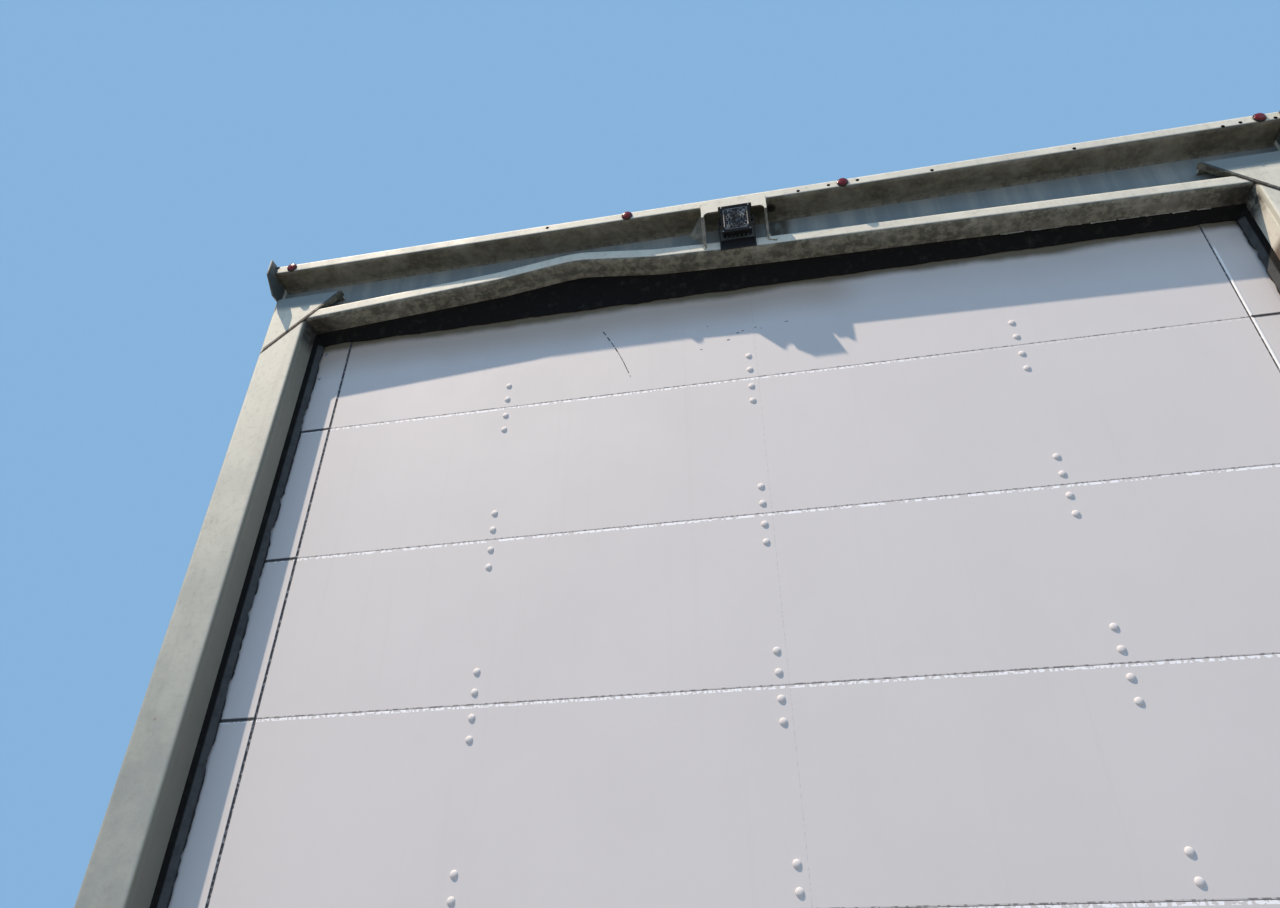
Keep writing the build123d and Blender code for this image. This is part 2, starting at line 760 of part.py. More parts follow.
# Lift cables: taut from the drum down the door's edge to a loop on the bottom bracket's pin
loop_radius = cable_pin_radius + fit_gap + cable_radius
wrap_radius = shaft_y - cable_y
loop_top = pin_z + loop_radius
with BuildPart() as lift_cables:
    for side in sides.values():
        with BuildLine(Plane.YZ.offset(side * cable_x)):
            rise = Line((cable_y, loop_top + ferrule / 2), (cable_y, shaft_z))
            over = JernArc(start=rise @ 1, tangent=rise % 1, radius=wrap_radius, arc_size=-wrap_turn / 2)
            JernArc(start=over @ 1, tangent=over % 1, radius=wrap_radius, arc_size=-wrap_turn / 2)
        with BuildSketch(Plane.XY.offset(loop_top + ferrule / 2)):
            with Locations((side * cable_x, cable_y)):
                Circle(cable_radius)
        sweep()
        with Locations((side * cable_x, cable_y, loop_top + ferrule / 2)):
            Cylinder(ferrule_radius, ferrule)
        with Locations(across(side * cable_x, cable_y, pin_z)):
            Torus(loop_radius, cable_radius)
lift_cables.part.label = "lift_cables"
export_step(lift_cables.part, "parts/lift_cables.step")

# Side seals: rubber lips from the post's step to the door's face
with BuildPart() as side_seals:
    for side in sides.values():
        step_y = return_depth - post_proud
        with BuildSketch(Plane.XY.offset(sill_height)):
            with BuildLine():
                Polyline(
                    (side * (opening + seal_base), step_y),
                    (side * opening, step_y),
                    (side * (opening - seal_lip), -seal_sheet),
                    (side * (opening - seal_lip + seal_sheet / 2), -fit_gap),
                    (side * (opening + seal_sheet), step_y + seal_sheet),
                    (side * (opening + seal_base), step_y + seal_sheet),
                    close=True,
                )
            make_face()
        extrude(amount=ledge_bottom - top_lip - sill_height)
side_seals.part.label = "side_seals"
export_step(side_seals.part, "parts/side_seals.step")

# Top seal: a rubber lip from the ledge's rear edge down to the door's face
ledge_rear = ledge_depth - post_proud
with BuildPart() as top_seal:
    with BuildSketch(Plane.YZ.offset(-opening)):
        with BuildLine():
            Polyline(
                (ledge_rear, ledge_bottom + top_base),
                (ledge_rear, ledge_bottom),
                (-seal_sheet, ledge_bottom - top_lip),
                (-fit_gap, ledge_bottom - top_lip + seal_sheet / 2),
                (ledge_rear + seal_sheet, ledge_bottom + seal_sheet),
                (ledge_rear + seal_sheet, ledge_bottom + top_base),
                close=True,
            )
        make_face()
    extrude(amount=2 * opening)
top_seal.part.label = "top_seal"
export_step(top_seal.part, "parts/top_seal.step")

# Bottom seal: a hollow rubber bulb under the last panel
with BuildPart() as bottom_seal:
    with BuildSketch(Plane.YZ.offset(-opening)):
        with Locations((panel_thickness / 2, sill_height + seal_height / 2)):
            RectangleRounded(panel_thickness - seal_sheet, seal_height, seal_sheet)
    extrude(amount=2 * opening)
bottom_seal.part.label = "bottom_seal"
export_step(bottom_seal.part, "parts/bottom_seal.step")

# Marker lamps on the lamp rail: a flat rim and a domed lens
with BuildPart() as marker_lamps:
    for place in marker_places:
        with BuildSketch(Plane.XZ.offset(rail_proud)):
            with Locations((place, header_top - rail_face / 2)):
                Circle(marker_radius)
        extrude(amount=marker_rim)
        with BuildSketch(Plane.XZ.offset(rail_proud + marker_rim)):
            with Locations((place, header_top - rail_face / 2)):
                Circle(marker_radius - marker_rim / 2)
        extrude(amount=marker_dome, taper=marker_taper)
marker_lamps.part.label = "marker_lamps"
export_step(marker_lamps.part, "parts/marker_lamps.step")

# Lamp guard: a band in front of the lamp rail, two cheeks back to the ledge and a raked left wing
guard_top = header_top - guard_inset
guard_low = header_top - guard_drop
guard_back = post_proud + fit_gap
with BuildPart() as lamp_guard:
    with BuildSketch(Plane.XZ.offset(guard_proud - guard_plate)):
        with Locations((0, guard_top - guard_band / 2)):
            Rectangle(guard_width, guard_band)
        with Locations((lamp_x, guard_top - guard_band)):
            Rectangle(lamp_width + 2 * yoke_gap, 2 * guard_notch, mode=Mode.SUBTRACT)
    extrude(amount=guard_plate)
    for side in sides.values():
        cheek = side * (guard_width / 2 - guard_plate)
        with BuildSketch(Plane.YZ.offset(cheek)):
            with BuildLine():
                Polyline(
                    (-guard_proud, guard_top),
                    (-rail_proud, guard_top),
                    (-rail_proud, rail_bottom),
                    (-guard_back, rail_bottom),
                    (-guard_back, guard_low),
                    (-guard_proud, guard_low + cheek_rake),
                    close=True,
                )
            make_face()
        extrude(amount=side * guard_plate)
    root = (guard_plate - guard_width) / 2
    tip = Vector(root, -guard_proud + wing_sheet, guard_top - guard_band)
    heel = Vector(root, -guard_back - wing_sheet, guard_low + wing_heel)
    spread = Vector(-guard_width / 2 - wing_spread, -guard_back - wing_sheet, guard_low + wing_tip)
    wing_plane = Plane(origin=tip, x_dir=heel - tip, z_dir=(heel - tip).cross(spread - tip))
    with BuildSketch(wing_plane):
        with BuildLine():
            Polyline(*[wing_plane.to_local_coords(point) for point in (tip, heel, spread)], close=True)
        make_face()
    extrude(amount=-wing_sheet)
lamp_guard.part.label = "lamp_guard"
export_step(lamp_guard.part, "parts/lamp_guard.step")

# Work lamp: a square finned housing with a recessed lens, tilting on two pins in its yoke
lamp_z = header_top - lamp_drop
look = radians(lamp_tilt)
lamp_plane = Plane(
    origin=(lamp_x, -lamp_proud, lamp_z), x_dir=(1, 0, 0), z_dir=(0, -cos(look), -sin(look))
)
with BuildPart() as work_lamp:
    with BuildSketch(lamp_plane.offset(-lamp_depth / 2)):
        RectangleRounded(lamp_width, lamp_height, lamp_bezel)
    extrude(amount=lamp_depth)
    with BuildSketch(lamp_plane.offset(lamp_depth / 2)):
        RectangleRounded(lamp_width - 2 * lamp_bezel, lamp_height - 2 * lamp_bezel, lamp_bezel / 2)
    extrude(amount=-lamp_recess, mode=Mode.SUBTRACT)
    with BuildSketch(lamp_plane.offset(-lamp_depth / 2)):
        with GridLocations(lamp_width / (fin_count + 1), 0, fin_count, 1):
            Rectangle(fin_slot, 2 * lamp_height)
    extrude(amount=fin_depth, mode=Mode.SUBTRACT)
    with Locations(across(lamp_x, -lamp_proud, lamp_z)):
        Cylinder(lamp_pin, lamp_width + 2 * (yoke_gap + yoke_sheet))
work_lamp.part.label = "work_lamp"
export_step(work_lamp.part, "parts/work_lamp.step")

with BuildPart() as work_lamp_lens:
    with BuildSketch(lamp_plane.offset(lamp_depth / 2 - lamp_recess)):
        lens_inset = 2 * (lamp_bezel + fit_gap)
        RectangleRounded(lamp_width - lens_inset, lamp_height - lens_inset, lamp_bezel / 2)
    extrude(amount=lens_sheet)
work_lamp_lens.part.label = "work_lamp_lens"
export_step(work_lamp_lens.part, "parts/work_lamp_lens.step")

# Lamp yoke: a foot on the ledge's face and two arms with a hole for each lamp pin
yoke_half = lamp_width / 2 + yoke_gap + yoke_sheet
with BuildPart() as lamp_yoke:
    foot_z = ledge_bottom + ledge_face + yoke_top - yoke_foot / 2
    with BuildSketch(Plane.XZ.offset(post_proud)):
        with Locations((lamp_x, foot_z)):
            Rectangle(2 * yoke_half, yoke_foot)
    extrude(amount=yoke_sheet)
    for side in sides.values():
        arm_x = lamp_x + side * (yoke_half - yoke_sheet)
        with BuildSketch(Plane.YZ.offset(arm_x)):
            with BuildLine():
                Polyline(
                    (-post_proud, foot_z - yoke_foot / 2),
                    (-post_proud, foot_z + yoke_foot / 2),
                    (-lamp_proud + arm_end * arm_spread, lamp_z + arm_end * arm_rise),
                    (-lamp_proud - arm_end * arm_spread, lamp_z - arm_end * arm_rise),
                    close=True,
                )
            make_face()
            with Locations((-lamp_proud, lamp_z)):
                Circle(arm_end)
                Circle(lamp_pin + pin_clearance, mode=Mode.SUBTRACT)
        extrude(amount=side * yoke_sheet)
lamp_yoke.part.label = "lamp_yoke"
export_step(lamp_yoke.part, "parts/lamp_yoke.step")

# Latch: plate and pivot on the bottom panel, a lever that swings up, and a keeper on the sill
latch_z = door_bottom + latch_rise
lever_rear = latch_plate_thickness + latch_boss + fit_gap
lever_front = lever_rear + lever_thickness
with BuildPart() as latch_plate:
    with BuildSketch(Plane.XZ):
        with Locations((0, latch_z)):
            RectangleRounded(latch_plate_width, latch_plate_height, bend)
    extrude(amount=latch_plate_thickness)
    pivot_spans = [
        (boss_radius, latch_plate_thickness, latch_plate_thickness + latch_boss),
        (lever_pin, latch_plate_thickness, lever_front + fit_gap),
        (pin_head, lever_front + fit_gap, lever_front + pin_head_thickness),
    ]
    for radius, near, far in pivot_spans:
        with BuildSketch(Plane.XZ.offset(near)):
            with Locations((0, latch_z)):
                Circle(radius)
        extrude(amount=far - near)
latch_plate.part.label = "latch_plate"
export_step(latch_plate.part, "parts/latch_plate.step")

# Lever: a hub, a hook open to the left that holds the keeper's pin, and a long handle
hook_inner = catch_radius - catch_pin - catch_clearance
hook_outer = catch_radius + catch_pin + catch_clearance


def spoke(radius, angle):
    """Point at a radius from the latch pivot, its angle counted from straight down to the right."""
    turn = radians(angle)
    return (radius * sin(turn), latch_z - radius * cos(turn))


with BuildPart() as latch_lever:
    with BuildSketch(Plane.XZ.offset(lever_rear)):
        with BuildLine():
            outer = hook_outer + hook_rim
            right = Line(spoke(0, 0), spoke(outer, hook_side))
            base_middle = spoke(outer, (hook_side - hook_mouth) / 2)
            base = ThreePointArc(right @ 1, base_middle, spoke(outer, -hook_mouth))
            Line(base @ 1, spoke(0, 0))
        make_face()
        with BuildLine():
            mouth = -2 * hook_mouth
            closed = hook_side / 2
            Line(spoke(hook_inner, mouth), spoke(hook_outer, mouth))
            low = ThreePointArc(spoke(hook_outer, mouth), spoke(hook_outer, 0), spoke(hook_outer, closed))
            Line(low @ 1, spoke(hook_inner, closed))
            ThreePointArc(spoke(hook_inner, closed), spoke(hook_inner, 0), spoke(hook_inner, mouth))
        make_face(mode=Mode.SUBTRACT)
        with Locations((0, latch_z)):
            Circle(hub_radius)
        with Locations((handle_length / 2, latch_z)):
            Rectangle(handle_length, handle_height)
        with Locations((handle_length, latch_z)):
            Circle(handle_height / 2)
        with Locations((0, latch_z)):
            Circle(lever_pin + pin_clearance, mode=Mode.SUBTRACT)
    extrude(amount=lever_thickness)
latch_lever.part.label = "latch_lever"
export_step(latch_lever.part, "parts/latch_lever.step")

# Keeper: a foot on the sill and an upright with the pin that the hook holds
keeper_pin_z = latch_z - catch_radius
keeper_near = lever_rear + lever_thickness + catch_clearance
with BuildPart() as latch_keeper:
    with BuildSketch(Plane.XZ.offset(keeper_near)):
        with Locations((0, (sill_height + keeper_pin_z) / 2)):
            Rectangle(keeper_width, keeper_pin_z - sill_height)
        with Locations((0, keeper_pin_z)):
            Circle(2 * catch_pin)
    extrude(amount=keeper_sheet)
    with BuildSketch(Plane.XY.offset(sill_height)):
        with Locations((0, -keeper_near - keeper_width / 2)):
            Rectangle(keeper_width, keeper_width)
    extrude(amount=keeper_sheet)
    with BuildSketch(Plane.XZ.offset(lever_rear)):
        with Locations((0, keeper_pin_z)):
            Circle(catch_pin)
    extrude(amount=keeper_near - lever_rear)
latch_keeper.part.label = "latch_keeper"
export_step(latch_keeper.part, "parts/latch_keeper.step")
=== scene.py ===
import json
import math
import random

import bmesh
import bpy
from mathutils import Matrix, Vector, noise


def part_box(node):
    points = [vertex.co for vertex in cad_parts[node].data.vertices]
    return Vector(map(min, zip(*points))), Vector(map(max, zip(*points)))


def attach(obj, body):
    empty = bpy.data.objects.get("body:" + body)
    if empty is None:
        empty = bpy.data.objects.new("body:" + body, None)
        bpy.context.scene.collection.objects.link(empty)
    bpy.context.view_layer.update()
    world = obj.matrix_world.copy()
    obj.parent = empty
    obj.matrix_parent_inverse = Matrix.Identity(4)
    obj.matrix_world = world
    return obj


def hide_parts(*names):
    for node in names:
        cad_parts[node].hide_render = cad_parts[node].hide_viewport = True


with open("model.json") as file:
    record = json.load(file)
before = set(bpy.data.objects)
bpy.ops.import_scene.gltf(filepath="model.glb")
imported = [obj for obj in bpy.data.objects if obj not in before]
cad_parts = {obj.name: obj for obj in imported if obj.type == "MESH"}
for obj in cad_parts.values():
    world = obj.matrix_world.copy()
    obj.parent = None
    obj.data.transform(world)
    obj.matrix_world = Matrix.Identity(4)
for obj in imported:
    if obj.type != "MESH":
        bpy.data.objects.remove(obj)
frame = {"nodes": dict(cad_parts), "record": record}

bl_info = {
    "name": "Box Truck Rear Door Frame",
    "version": (1, 0, 0),
    "blender": (4, 5, 0),
    "location": "3D View > Sidebar > Door Frame",
    "description": "Dresses the rear door frame with fasteners, seals, springs, lamps and worn finishes",
    "category": "Object",
}

FIXED = "frame_and_door"
SIDES = (-1, 1)
OUT, IN, UP = (0, -1, 0), (0, 1, 0), (0, 0, 1)

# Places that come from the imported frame, in metres
SKIN_LOW, SKIN_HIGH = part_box("door_panel_6")[0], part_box("door_panel_1")[1]
PANEL = (SKIN_HIGH.z - SKIN_LOW.z) / 6
SEAMS = [SKIN_LOW.z + PANEL * n for n in range(1, 6)]
SKIN_INNER = SKIN_HIGH.y
SEAL_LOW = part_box("side_seals")[0]
TOP_LOW, TOP_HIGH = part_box("top_seal")
OPENING = TOP_HIGH.x
RAIL_LOW, RAIL_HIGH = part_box("header_rail")
LEDGE_LOW, LEDGE_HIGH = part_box("header_ledge")
GUSSET_LOW, GUSSET_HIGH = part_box("corner_gusset_right")
GUSSET_SEAM = GUSSET_HIGH.x + GUSSET_LOW.z
SHAFT_LOW, SHAFT_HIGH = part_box("counterbalance_shaft")
SHAFT = (SHAFT_LOW + SHAFT_HIGH) / 2

# Places and sizes set here, in metres
DENT = ((-OPENING, 0.0), (-0.600, 0.040), (-0.400, 0.070), (-0.195, 0.040), (0.060, 0.027), (OPENING, 0.0))
WIRE_HOLE_X, WIRE_HOLE_Y = 0.088, -0.088
STRIP_RULE, STRIP_BEAD = 1.0178, 1.0220
SKIN_JOINT = 0.017
MARKERS = (-1.167, -0.262, 0.262, 1.167)
SCREW_HOLES = (
    (-1.209, 2.338), (-0.467, 2.332), (0.157, 2.325), (0.229, 2.329), (0.297, 2.331), (0.467, 2.325), (0.780, 2.324),
    (1.090, 2.321), (1.127, 2.325), (1.197, 2.323))
LAMP_CENTRE, LAMP_TILT = Vector((0.003, -0.106, 2.266)), math.radians(30)
BOLT_RISES = (-0.064, -0.024, 0.024, 0.064)
END_BOLT_RISES = (-0.064, -0.030, 0.030, 0.064)
HINGE_LEAF = 0.003
HINGE_NUT = {"Radius": 0.0065, "Height": 0.005, "Washer": 0.008}
SPRING_LENGTH = 0.600


class NodeMaker:
    """Adds nodes to its tree."""

    def fill(self, node, given):
        """Gives each named input its value, its link or its list of links."""
        for key, value in given.items():
            for source in value if isinstance(value, list) else [value]:
                if isinstance(source, bpy.types.NodeSocket):
                    self.tree.links.new(source, node.inputs[key])
                else:
                    node.inputs[key].default_value = source

    def node(self, kind, given, output=0, **settings):
        """Adds a node with its settings and inputs, and returns one of its outputs."""
        node = self.tree.nodes.new(kind)
        for key, value in settings.items():
            setattr(node, key, value)
        self.fill(node, given)
        return node.outputs[output]


# ---- finishes ----


def rgba(value):
    return value + (1.0,) if isinstance(value, tuple) else value


class Finish(NodeMaker):
    """Builds one finish as a node tree on Object coordinates."""

    def __init__(self, name):
        self.material = bpy.data.materials.get(name) or bpy.data.materials.new(name)
        self.material.use_nodes = True
        self.tree = self.material.node_tree
        self.tree.nodes.clear()
        self.shader = self.tree.nodes.new("ShaderNodeBsdfPrincipled")
        self.fill(self.tree.nodes.new("ShaderNodeOutputMaterial"), {"Surface": self.shader.outputs["BSDF"]})
        self.place = self.node("ShaderNodeTexCoord", {}, "Object")
        self.base = None

    def noise(self, scale, detail=4.0, rough=0.55, stretch=None):
        place = self.node("ShaderNodeMapping", {"Vector": self.place, "Scale": stretch}) if stretch else self.place
        given = {"Vector": place, "Scale": scale, "Detail": detail, "Roughness": rough}
        return self.node("ShaderNodeTexNoise", given, "Fac")

    def cells(self, scale, feature="F1"):
        given = {"Vector": self.place, "Scale": scale}
        return self.node("ShaderNodeTexVoronoi", given, "Distance", feature=feature)

    def span(self, value, low, high, to_low=0.0, to_high=1.0):
        given = {"Value": value, "From Min": low, "From Max": high, "To Min": to_low, "To Max": to_high}
        return self.node("ShaderNodeMapRange", given, "Result", interpolation_type="SMOOTHSTEP")

    def calc(self, kind, a, b=0.0):
        return self.node("ShaderNodeMath", {0: a, 1: b}, operation=kind)

    def times(self, product, *others):
        for other in others:
            product = self.calc("MULTIPLY", product, other)
        return product

    def near(self, value, place, low, high, to_low=0.0, to_high=1.0):
        """A span over the distance of a value from a place."""
        apart = self.calc("ABSOLUTE", self.calc("SUBTRACT", value, place))
        return self.span(apart, low, high, to_low, to_high)

    def around(self, *pairs):
        """Square of the distance from a place, given as two pairs of value and place."""
        return self.calc("ADD", *(self.calc("POWER", self.calc("SUBTRACT", *pair), 2.0) for pair in pairs))

    def axis(self, letter, vector=None):
        return self.node("ShaderNodeSeparateXYZ", {0: vector or self.place}, letter)

    def facing(self, letter):
        return self.axis(letter, self.node("ShaderNodeNewGeometry", {}, "Normal"))

    def edges(self, radius):
        """Share of wear on outer edges within a radius."""
        bevel = self.node("ShaderNodeBevel", {"Radius": radius}, samples=4)
        normal = self.node("ShaderNodeNewGeometry", {}, "Normal")
        dot = self.node("ShaderNodeVectorMath", {0: bevel, 1: normal}, "Value", operation="DOT_PRODUCT")
        return self.span(dot, 0.98, 0.80)

    def blend(self, share, a, b):
        return self.node("ShaderNodeMix", {0: share, 6: rgba(a), 7: rgba(b)}, 2, data_type="RGBA")

    def lay(self, colour, *shares):
        """Lays a colour over the finish so far, by the product of the shares."""
        self.base = self.blend(self.times(*shares), self.base, colour)

    def done(self, rough, metal=0.0, specular=0.5, relief=None):
        """Ends the finish; relief is a height with its strength and its depth."""
        given = {"Base Color": rgba(self.base), "Roughness": rough, "Metallic": metal, "Specular IOR Level": specular}
        if relief:
            given["Normal"] = self.node("ShaderNodeBump", dict(zip(("Height", "Strength", "Distance"), relief)))
        self.fill(self.shader, given)
        return self.material


def weathered_and_shaded_frame(colour, rust):
    """Cream paint, greyer down the posts: runs, undersides darkened by dirt and painted shade, painted shade on the web
    and in corners, rust from the edges.
    """
    f = Finish("frame_paint_weathered_and_shaded")
    mottle, spangle = f.noise(11.0, 6.0, 0.65), f.noise(75.0, 5.0, 0.7)
    runs = f.noise(1.0, 5.0, 0.6, (26.0, 26.0, 1.6))
    x, y, height = f.axis("X"), f.axis("Y"), f.axis("Z")
    across = f.calc("ABSOLUTE", x)
    clean = f.blend(f.span(mottle, 0.38, 0.66), tuple(0.90 * c for c in colour), colour)
    dull = f.blend(f.span(mottle, 0.38, 0.66), (0.29, 0.31, 0.285), (0.35, 0.37, 0.335))
    f.base = f.blend(f.span(height, 0.90, 2.15), dull, clean)
    f.lay((0.22, 0.22, 0.19), f.span(spangle, 0.50, 0.66, 0.0, 0.22))
    f.lay((0.24, 0.22, 0.17), f.span(runs, 0.52, 0.74, 0.0, 0.20))

    # Web between the ledge and the rail, darkened blue-grey with streaks: painted shade in the recess under the rail
    web = f.times(
        f.span(y, -0.056, -0.050), f.span(y, -0.036, -0.042), f.span(across, 1.2170, 1.2150),
        f.span(height, LEDGE_LOW.z, LEDGE_LOW.z + 0.03))
    f.lay((0.20, 0.24, 0.25), web, f.span(runs, 0.40, 0.70, 0.95, 0.70))

    # Painted shade on the gussets' tops, the end plates, the guard wing and the sloped faces; the weld along the
    # gussets and the drip under the wiring hole
    out = f.span(y, -0.060, -0.066)
    below_rail = f.span(height, RAIL_HIGH.z - 0.036, RAIL_HIGH.z - 0.040)
    corner = f.times(f.span(across, 1.00, 1.03), out, f.span(height, 2.206, 2.232))
    f.lay((0.20, 0.235, 0.24), corner, below_rail, 0.92)
    plate = f.times(f.span(across, 1.2185, 1.2165), f.span(across, 1.2080, 1.2100), corner)
    wing = f.times(f.span(x, -0.0795, -0.0800), f.span(x, -0.1180, -0.1150), below_rail, f.span(y, -0.0815, -0.0830))
    f.lay((0.062, 0.070, 0.064), f.calc("MAXIMUM", plate, wing), 0.92)
    slope = f.calc("ABSOLUTE", f.facing("X"))
    f.lay((0.34, 0.33, 0.26), f.span(slope, 0.40, 0.60), f.span(slope, 0.95, 0.85, 0.0, 0.85))
    weld = f.near(f.calc("ADD", across, height), GUSSET_SEAM, 0.0110, 0.0070)
    f.lay(
        (0.050, 0.048, 0.042), weld, out, below_rail, f.span(spangle, 0.36, 0.54, 0.75, 0.98),
        f.span(across, 1.212, 1.206))
    f.lay((0.060, 0.054, 0.036), f.near(x, 0.103, 0.040, 0.012), web, f.span(mottle, 0.38, 0.56, 0.25, 0.9))

    # Undersides darkened by dirt and by painted shade, and the crust where the rail's underside meets the web
    under = f.times(f.span(f.facing("Z"), -0.20, -0.55), f.span(mottle, 0.25, 0.62, 0.75, 0.97))
    darkening = f.blend(f.span(spangle, 0.42, 0.62), (0.056, 0.050, 0.031), (0.108, 0.098, 0.062))
    ledge_darkening = f.blend(f.span(f.noise(48.0, 6.0, 0.75), 0.44, 0.60), (0.074, 0.071, 0.050), (0.205, 0.200, 0.150))
    f.lay(f.blend(f.span(height, 2.255, 2.275), ledge_darkening, darkening), under)
    f.lay(
        (0.21, 0.20, 0.155), f.span(y, -0.068, -0.060), f.span(y, -0.046, -0.050), under,
        f.span(height, 2.285, 2.295), f.span(spangle, 0.38, 0.60, 0.15, 0.85))

    # Wiring hole: painted shade in its inside and on the underside behind it
    f.lay(
        (0.012, 0.010, 0.008), f.span(f.around((x, WIRE_HOLE_X), (y, WIRE_HOLE_Y)), 0.00020, 0.00011),
        f.span(height, 2.29, 2.30), f.span(height, 2.330, 2.324), f.span(x, 0.0796, 0.0800))
    f.lay(
        (0.008, 0.008, 0.007), f.near(x, WIRE_HOLE_X, 0.036, 0.028), f.span(height, 2.334, 2.338),
        f.span(f.facing("Z"), -0.3, -0.6))

    # Reveals of the posts, with painted shade on the left and rust on the right, and painted shade in the opening's
    # upper corners
    reveal = f.near(across, OPENING + 0.004, 0.012, 0.009)
    f.lay((0.150, 0.135, 0.098), reveal, f.span(f.facing("X"), 0.25, 0.75), f.span(x, -0.5, -0.6), 0.80)
    f.lay(
        (0.125, 0.085, 0.060), reveal, f.span(f.facing("X"), -0.30, -0.60), f.span(x, 0.5, 0.6),
        f.span(height, 2.030, 2.005), f.span(height, 1.80, 1.90), f.span(mottle, 0.30, 0.55, 0.6, 0.95))
    f.lay(
        (0.022, 0.020, 0.016), f.span(f.around((across, OPENING), (height, LEDGE_LOW.z)), 0.0075, 0.0006),
        f.span(y, -0.080, -0.070), f.span(spangle, 0.35, 0.60, 0.65, 0.97))

    worn = f.times(f.edges(0.003), f.span(mottle, 0.46, 0.62))
    patches = f.span(f.noise(19.0, 8.0, 0.72), 0.70 - 0.08 * rust, 0.76 - 0.06 * rust)
    f.lay((0.19, 0.085, 0.035), f.calc("MAXIMUM", worn, patches), rust)
    height = f.calc("ADD", f.noise(240.0, 3.0, 0.6), f.times(mottle, 2.0))
    return f.done(f.span(mottle, 0.3, 0.7, 0.52, 0.82), relief=(height, 0.35, 0.0006))


def door_laminate(colour):
    """White skin outside with dust under the header, faint runs and fine scratches; brown ply inside."""
    f = Finish("door_laminate")
    x, height = f.axis("X"), f.axis("Z")
    across = f.calc("ABSOLUTE", x)
    cloud, dashes = f.noise(3.2, 5.0, 0.6), f.noise(118.0, 1.5)
    runs = f.noise(1.0, 5.0, 0.6, (38.0, 38.0, 0.9))
    scuffs = f.noise(1.0, 8.0, 0.75, (5.0, 5.0, 90.0))
    f.base = f.blend(f.span(cloud, 0.35, 0.7, 0.0, 0.25), colour, tuple(0.88 * c for c in colour))
    f.lay((0.40, 0.38, 0.34), f.span(runs, 0.56, 0.76, 0.0, 0.06))
    band = f.calc("ADD", height, f.times(cloud, 0.05))
    stain = f.span(band, TOP_LOW.z - 0.115, TOP_LOW.z - 0.010, 0.0, 0.70)
    f.lay((0.44, 0.34, 0.26), stain, f.span(x, 0.30, 0.18, 0.25, 1.0))
    f.lay((0.13, 0.105, 0.06), f.span(band, TOP_LOW.z - 0.006, TOP_LOW.z + 0.018, 0.0, 0.92))
    f.lay((0.46, 0.45, 0.43), f.span(scuffs, 0.70, 0.74, 0.0, 0.18))

    # Seams: a dark line with dashes of white below it, a painted highlight on the lower panel's edge, fewer to the
    # right at the top seam
    for seam in SEAMS:
        f.lay(
            (0.12, 0.12, 0.125), f.near(height, seam + 0.0014, 0.0014, 0.0004), f.span(dashes, 0.50, 0.44, 0.25, 0.85))
        below = f.times(f.near(height, seam - 0.0034, 0.0031, 0.0019), f.span(dashes, 0.485, 0.505, 0.0, 0.95))
        if seam == SEAMS[-1]:
            below = f.times(below, f.span(x, 0.50, 0.25, 0.25, 1.0))
        f.lay((0.98, 0.98, 1.0), below)

    # Edge strips: a rule beside each, thinner on the right, a white bead there as a painted highlight that stops short
    # of the top, the seams' gaps; the skin's joint
    right = f.span(x, 0.0, 0.1)
    wide, thin = f.near(across, STRIP_RULE, 0.0034, 0.0018), f.near(across, STRIP_RULE, 0.0020, 0.0008)
    rule = f.calc("ADD", f.times(wide, f.calc("SUBTRACT", 1.0, right)), f.times(thin, right))
    f.lay((0.045, 0.050, 0.060), rule, f.span(dashes, 0.34, 0.52, 0.6, 1.0))
    bead = f.near(across, STRIP_BEAD, 0.0028, 0.0018)
    f.lay((0.98, 0.98, 0.98), bead, right, 0.9, f.span(height, TOP_LOW.z - 0.060, TOP_LOW.z - 0.085))
    for seam in SEAMS:
        f.lay((0.06, 0.06, 0.065), f.near(height, seam, 0.0046, 0.0030), f.span(across, 1.020, 1.022, 0.0, 0.9))
    f.lay((0.30, 0.30, 0.31), f.near(x, SKIN_JOINT, 0.0012, 0.0003), f.span(dashes, 0.42, 0.60, 0.0, 0.35))
    skin = f.base

    grain = f.noise(1.0, 6.0, 0.6, (3.0, 60.0, 90.0))
    f.base = f.blend(f.span(grain, 0.35, 0.68), (0.40, 0.26, 0.14), (0.58, 0.42, 0.25))
    f.lay((0.20, 0.15, 0.10), f.span(f.noise(2.3, 6.0, 0.7), 0.56, 0.74, 0.0, 0.5))
    for seam in SEAMS:
        f.lay((0.06, 0.045, 0.03), f.near(height, seam + 0.008, 0.0030, 0.0010, 0.0, 0.85))
    f.base = f.blend(f.span(f.axis("Y"), 0.012, 0.014), skin, f.base)
    return f.done(f.span(cloud, 0.3, 0.7, 0.56, 0.70), specular=0.22, relief=(f.noise(320.0, 2.0), 0.10, 0.0003))


def zinc_plate(name, colour, darkening=0.5):
    """Dull zinc with white bloom and some grime."""
    f = Finish(name)
    mottle = f.noise(34.0, 5.0, 0.6)
    f.base = f.blend(f.span(mottle, 0.4, 0.66), tuple(0.70 * c for c in colour), colour)
    f.lay((0.10, 0.075, 0.05), f.span(f.noise(13.0, 7.0, 0.7), 0.58, 0.72, 0.0, darkening))
    return f.done(f.span(mottle, 0.3, 0.7, 0.34, 0.56), 0.85, relief=(f.noise(260.0, 2.0), 0.2, 0.0003))


def stranded_cable():
    """Twisted wire: diagonal ridges that follow the cable, with painted shade in the grooves between them."""
    f = Finish("stranded_cable")
    wave = f.node("ShaderNodeTexWave", {"Vector": f.place, "Scale": 160.0}, "Fac", bands_direction="DIAGONAL")
    f.base = f.blend(wave, (0.14, 0.13, 0.12), (0.46, 0.46, 0.46))
    return f.done(0.45, 0.8, relief=(wave, 0.6, 0.0005))


